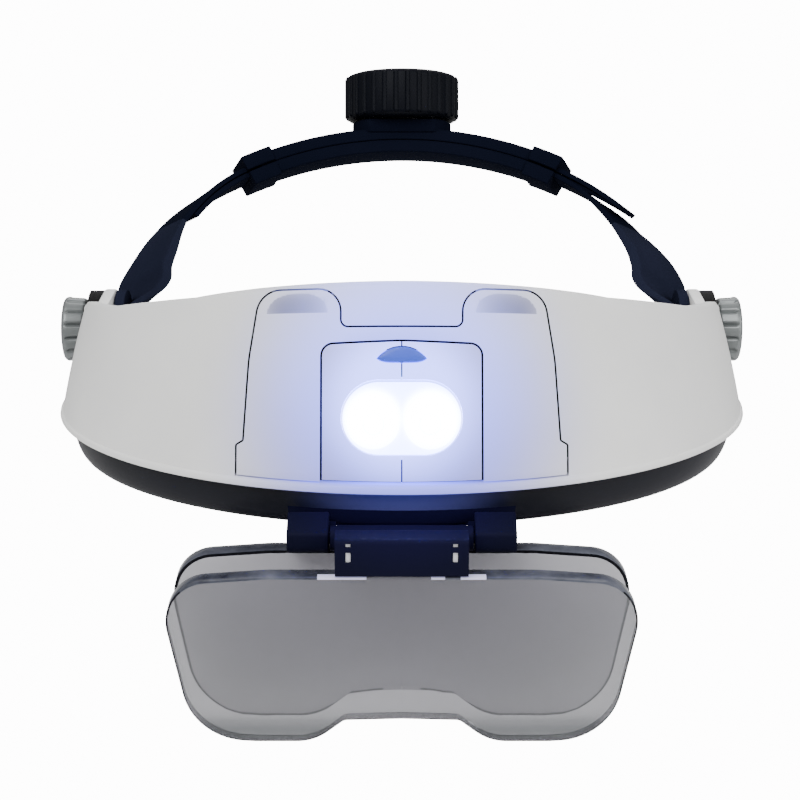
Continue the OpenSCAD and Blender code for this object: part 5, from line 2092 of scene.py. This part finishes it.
@dataclass
class RearHousing:
    """The housing at the back that both straps run through, with its round boss."""

    shop: FinishShop
    curves: BandCurves = field(default_factory=BandCurves)
    half: float = 25.0
    width: float = 22.2

    def arc(self, name: str, a0: float, a1: float, r0: float, r1: float, width: float, edge: float = 0.6
            ) -> Piece:
        """A leaning band along the strap's curve.

        Args:
            name: name of the object.
            a0: heading of the one end in degrees.
            a1: heading of the other end.
            r0: inner radius.
            r1: outer radius.
            width: its width.
            edge: radius of its long edges.

        Returns:
            The band as a closed solid.
        """
        c = self.curves
        slope = math.tan(radians(c.cone))
        half = width / 2
        prof = rounded([(r0, -half, edge), (r1, -half, edge), (r1, half, edge), (r0, half, edge)], 4)
        steps = max(6, int(abs(a1 - a0) / 0.8))
        rings: Grid = []
        for k in range(steps + 1):
            a = radians(mix(a0, a1, k / steps))
            rings.append([c.world((r - w * slope) * sin(a), c.depth - c.strap_r + (r - w * slope) * cos(a), w)
                          for r, w in prof])
        return Shaper.tube(name, rings)

    def build(self) -> None:
        """Make both halves of the housing."""
        c = self.curves
        inner_r, outer_r = c.strap_r - c.layer / 2, c.strap_r + c.layer / 2
        low = inner_r - c.strap_t / 2 - 0.2
        high = outer_r + c.strap_t / 2 + 0.2
        for name, r0, r1, cut0, cut1, node in (
                ("housing_inner", low - 2.2, c.strap_r - 0.02, low, c.strap_r + 2, "rear_base"),
                ("housing_outer", c.strap_r + 0.02, high + 2.2, c.strap_r - 2, high, "rear_cover")):
            body = self.arc(name, -self.half, self.half, r0, r1, self.width, 0.7)
            grow0 = -1.0 if node == "rear_base" else 0.3
            grow1 = 1.3 if node == "rear_cover" else -0.3
            for side in (-1, 1):
                collar = self.arc("collar", side * self.half - 2.6, side * self.half + 2.6, r0 + grow0,
                                  r1 + grow1, self.width + 1.8, 0.6)
                Shaper.boolean(body, [Shaper.soften(collar, 0.4, 50.0)], "UNION")
            if node == "rear_cover":
                Shaper.boolean(body, [self.boss(high)], "UNION")
                holes = [self.disc(6.3, -3, 2.4), self.disc(3.55, -3, 17)]
            else:
                holes = [self.disc(2.1, low - 2.2 - c.strap_r + 0.7, low - 2.2 - c.strap_r + 3.7)]
            channel = self.arc("channel", -self.half - 4, self.half + 4, cut0, cut1, c.strap_w + 0.6, 0.05)
            Shaper.boolean(body, [channel] + holes, "DIFFERENCE")
            self.shop.dress(body, BAND)
            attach(body, Body.HOUSING.value)
            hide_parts(node)

    def disc(self, r: float, low: float, high: float) -> Piece:
        """A round cutter on the knob's axis."""
        return Shaper.prism("disc", circle(r, 6), knob_axis, low, high)

    def boss(self, high: float) -> Piece:
        """The round boss under the knob, with two flats along the band.

        Args:
            high: the outer radius of the straps' channel.

        Returns:
            The boss.
        """
        c = self.curves
        top = high + 2.2 - c.strap_r + 2.2
        low = high + 0.15 - c.strap_r
        limit = self.width / 2 + 0.6
        pts = [(x, max(-limit, min(limit, y))) for x, y in circle(15.5, 4)]
        return Shaper.soften(Shaper.prism("boss", pts, knob_axis, low, top), 0.5)


def knob_axis(x: float, y: float, n: float) -> Vector:
    """A point in the knob's frame: n out of the strap, y up its width."""
    t = radians(BAND_LINE.cone - 90)
    y2, z2 = -y * cos(t) - n * sin(t), -y * sin(t) + n * cos(t)
    return BAND_LINE.world(x, BAND_LINE.depth + y2, z2)


@dataclass
class SizeKnob:
    """The ribbed knob that draws the straps together; its ribs come from Geometry Nodes."""

    shop: FinishShop
    diameter: float = 35.6
    height: float = 14.5
    base: float = 7.1
    grips: int = 30

    def build(self) -> None:
        """Make the knob in place of its CAD node."""
        r = self.diameter / 2
        h = self.height
        core = r - 0.4
        prof = [(3.5, 2.6), (3.5, 0.4), (4.2, 0.0), (core - 1.8, 0.0), (core - 0.8, 0.3), (core - 0.2, 0.9),
                (core, 1.6), (core, h - 1.6), (core - 0.25, h - 0.9), (core - 0.8, h - 0.4),
                (core - 1.7, h - 0.1), (r * 0.5, h), (0.0, h), (0.0, 5.05), (3.5, 5.05)]
        on_axis = 12
        steps = 120
        verts = [knob_axis(q * cos(2 * pi * k / steps), q * sin(2 * pi * k / steps), self.base + z)
                 for k in range(steps) for q, z in prof]
        n = len(prof)
        nexts = [(k + 1) % steps for k in range(steps)]
        faces = [(k * n + i, k * n + (i + 1) % n, after * n + (i + 1) % n, after * n + i)
                 for k, after in enumerate(nexts) for i in range(n) if i != on_axis]
        drum = Shaper.solid("size_drum", verts, faces, 30.0)
        ribs = self.ribs(core)
        NodeRig.map_points(ribs, lambda p: knob_axis(p.x / MM, p.y / MM, p.z / MM) * MM)
        with edited(drum.data) as bm:
            bm.from_mesh(ribs.data)
        bpy.data.objects.remove(ribs)
        self.shop.dress(drum, KNOB)
        Shaper.smooth(drum, 35.0)
        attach(drum, Body.DIAL.value)
        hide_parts("size_knob")

    def ribs(self, core: float) -> Piece:
        """The ring of rounded grip ribs.

        Args:
            core: the drum's radius.

        Returns:
            The ribs as one mesh.
        """
        rig = NodeRig("knob_ribs")
        count = rig.size("Ribs", "NodeSocketInt", self.grips)
        radius = rig.size("Drum Radius", FLOAT, (core - 0.25) * MM)
        thick = rig.size("Rib Radius", FLOAT, 0.82 * MM)
        tall = rig.size("Rib Height", FLOAT, (self.height - 3.0) * MM)
        lift = rig.size("Rib Middle", FLOAT, (self.base + self.height / 2) * MM)
        ring = rig.node("GeometryNodeMeshCircle", {"Vertices": count, "Radius": radius})
        up = rig.node("ShaderNodeCombineXYZ", {"Z": lift})
        moved = rig.node("GeometryNodeTransform",
                         {"Geometry": ring.outputs["Mesh"], "Translation": up.outputs[0]})
        rod = rig.node("GeometryNodeMeshCylinder", {"Vertices": 14, "Side Segments": 1, "Fill Segments": 1,
                                                    "Radius": thick, "Depth": tall})
        ball = rig.node("GeometryNodeMeshUVSphere", {"Segments": 14, "Rings": 7, "Radius": thick})
        ends = []
        for share in (0.5, -0.5):
            level = rig.node("ShaderNodeMath", {"0": tall, "1": share}, operation="MULTIPLY")
            spot = rig.node("ShaderNodeCombineXYZ", {"Z": level.outputs[0]})
            ends.append(rig.node("GeometryNodeTransform",
                                 {"Geometry": ball.outputs["Mesh"], "Translation": spot.outputs[0]}))
        join = rig.node("GeometryNodeJoinGeometry")
        for part in [rod] + ends:
            rig.tree.links.new(part.outputs[0], join.inputs[0])
        spots = rig.node("GeometryNodeInstanceOnPoints",
                         {"Points": moved.outputs["Geometry"], "Instance": join.outputs["Geometry"]})
        return rig.finish(spots.outputs["Instances"], self.shop.get(KNOB), "ribs")


@dataclass
class ThumbKnob:
    """One lobed knob that clamps a temple joint."""

    shop: FinishShop
    side: int
    grooves: int = 14
    groove_depth: float = 1.1
    diameter: float = 19.4
    steps: int = 210

    def radius(self, angle: float, inset: float, share: float) -> float:
        """The outline's radius at an angle: a circle with narrow grooves of a share of their full depth."""
        wave = max(0.0, cos(self.grooves * angle)) ** 3
        return self.diameter / 2 - inset - self.groove_depth * share * wave

    def build(self) -> None:
        """Make the knob in place of its CAD node."""
        x1 = CURVES.knob_x
        x0 = x1 - CURVES.knob_t
        levels = [(1.2, x0, 0.3), (0.7, x0 + 0.25, 0.8), (0.4, x0 + 0.9, 1.0), (0.2, x1 - 2.2, 1.0),
                  (0.0, x1 - 1.7, 0.5), (0.0, x1 - 1.1, 0.0), (0.2, x1 - 0.6, 0.0), (0.6, x1 - 0.2, 0.0),
                  (1.4, x1, 0.0)]
        rings = [self.ring(2.5, x1 - 1.6), self.ring(2.5, x0)]
        rings += [[self.spot(self.radius(2 * pi * k / self.steps, inset, share), k, x)
                   for k in range(self.steps)] for inset, x, share in levels]
        rings += [self.ring(r, x) for r, x in ((5.5, x1), (5.2, x1 - 0.15), (5.0, x1 - 0.6), (4.6, x1 - 0.7))]
        knob = Shaper.tube("left_thumb_knob" if self.side < 0 else "right_thumb_knob", rings)
        self.shop.dress(knob, THUMB)
        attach(knob, (Body.LEFT_THUMB if self.side < 0 else Body.RIGHT_THUMB).value)
        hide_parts("thumb_left" if self.side < 0 else "thumb_right")

    def spot(self, r: float, step: int, x: float) -> Vector:
        """A point at a radius, a step of the way round and a distance out."""
        a = 2 * pi * step / self.steps
        return Vector((self.side * x, r * cos(a), r * sin(a)))

    def ring(self, r: float, x: float) -> list[Vector]:
        """A plain round ring."""
        return [self.spot(r, step, x) for step in range(self.steps)]


# The studio, and the whole set


@dataclass
class Studio:
    """The camera at the photograph's angle, the soft lights and the pale floor."""

    eye: tuple[float, float, float] = (0.0, -0.541, 0.174)
    pitch: float = 20.0
    lens: float = 84.6
    shift_x: float = -0.0022
    floor_z: float = -0.42
    surround: float = 0.42
    backdrop: float = 14.0
    paper: Colour = (1.0, 0.985, 0.992, 1.0)

    def camera(self) -> None:
        """Make the camera."""
        data = bpy.data.cameras.new("camera")
        data.lens = self.lens
        data.sensor_width = 36
        data.shift_x = self.shift_x
        data.clip_start = 0.01
        data.clip_end = 60
        cam = Shaper.link("camera", data)
        cam.location = self.eye
        cam.rotation_euler = (radians(90 - self.pitch), 0, 0)
        bpy.context.scene.camera = cam

    def area(self, name: str, place: Sequence[float], aim: Sequence[float], size: float,
             power: float) -> None:
        """Make one soft square light.

        Args:
            name: name of the light.
            place: its place in metres.
            aim: the point that it looks at.
            size: its side in metres.
            power: its power in watts.
        """
        data = bpy.data.lights.new(name, "AREA")
        data.size = size
        data.energy = power
        light = Shaper.link(name, data)
        light.location = place
        light.rotation_euler = (Vector(aim) - Vector(place)).to_track_quat("-Z", "Y").to_euler()

    def world(self) -> None:
        """Make the pale surround."""
        world = bpy.data.worlds.new("surround")
        world.use_nodes = True
        tree = world.node_tree
        back = feed(tree, tree.nodes["Background"],
                    {"Color": (1.0, 1.0, 1.0, 1.0), "Strength": self.surround})
        bright = feed(tree, tree.nodes.new("ShaderNodeBackground"),
                      {"Color": self.paper, "Strength": self.backdrop})
        self.split(tree, back, bright, tree.nodes["World Output"])
        bpy.context.scene.world = world

    @staticmethod
    def split(tree: Tree, light: Node, paper: Node, out: Node) -> None:
        """Light the scene with one shader and show the other one behind the object.

        Args:
            tree: the tree of the surround or the floor.
            light: the shader that lights the object.
            paper: the bright shader that is seen past it.
            out: the tree's output node.
        """
        seen = tree.nodes.new("ShaderNodeLightPath")
        both = tree.nodes.new("ShaderNodeMixShader")
        feed(tree, both, {"0": seen.outputs["Is Camera Ray"], "1": light.outputs[0], "2": paper.outputs[0]})
        feed(tree, out, {"Surface": both.outputs[0]})

    def floor(self) -> None:
        """Make the plain pale floor."""
        half = 14.0
        mesh = bpy.data.meshes.new("floor")
        corners = ((-half, -half), (half, -half), (half, half), (-half, half))
        mesh.from_pydata([(x, y, self.floor_z) for x, y in corners], [], [(0, 1, 2, 3)])
        floor = Shaper.link("floor", mesh)
        material = bpy.data.materials.new("pale_floor")
        material.use_nodes = True
        tree = material.node_tree
        coords = tree.nodes.new("ShaderNodeTexCoord")
        noise = feed(tree, tree.nodes.new("ShaderNodeTexNoise"),
                     {"Scale": 3.0, "Vector": coords.outputs["Object"]})
        pale = tint(tree, noise.outputs["Fac"], (0.93, 0.93, 0.935, 1.0), (0.945, 0.94, 0.945, 1.0))
        shader = feed(tree, tree.nodes["Principled BSDF"], {"Base Color": pale, "Roughness": 0.9})
        glow = feed(tree, tree.nodes.new("ShaderNodeEmission"),
                    {"Color": self.paper, "Strength": self.backdrop})
        self.split(tree, shader, glow, tree.nodes["Material Output"])
        mesh.materials.append(material)

    def build(self) -> None:
        """Make the whole studio."""
        self.camera()
        self.world()
        self.floor()
        self.area("key", (-0.5, -0.9, 1.3), (0, -0.05, 0), 1.2, 27.0)
        self.area("fill", (0.9, -0.7, 0.6), (0, -0.05, 0), 1.0, 9.6)
        self.area("back", (0.1, 1.1, 0.9), (0, 0, 0), 1.0, 8.0)


def main() -> None:
    logging.basicConfig(level=logging.INFO, format="%(name)s: %(message)s")
    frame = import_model()
    shop = FinishShop(CURVES.face(0, LampHousing.window_u, 2.0) * MM)
    for name, finish in NODE_FINISHES.items():
        shop.redress(frame["nodes"][name], finish)
    front = LensPlate(shop, "front_plate_clear", "front_lens", Body.FRONT_PLATE, -107.4, -31.9, 1.4)
    rear = LensPlate(shop, "rear_plate_clear", "rear_lens", Body.REAR_PLATE, -88.4, -32.9, 1.1)
    pieces: list[tuple[str, Callable[[], None]]] = [
        ("outer shell", VisorShell(shop).build),
        ("battery cover", BatteryCover(shop).build),
        ("lamp", LampHousing(shop).build),
        ("lower shell", LowerShell(shop).build),
        ("inner wall", Liner(shop).build),
        ("forehead pad", ForeheadPad(shop).build),
        ("front lens plate", front.build),
        ("rear lens plate", rear.build),
        ("headband", Headband(shop).build),
        ("rear housing", RearHousing(shop).build),
        ("size knob", SizeKnob(shop).build),
        ("left thumb knob", ThumbKnob(shop, -1).build),
        ("right thumb knob", ThumbKnob(shop, 1).build),
    ]
    for name, build in pieces:
        build()
        LOG.info("%s is in place", name)
    Studio().build()


if __name__ == "__main__":
    main()
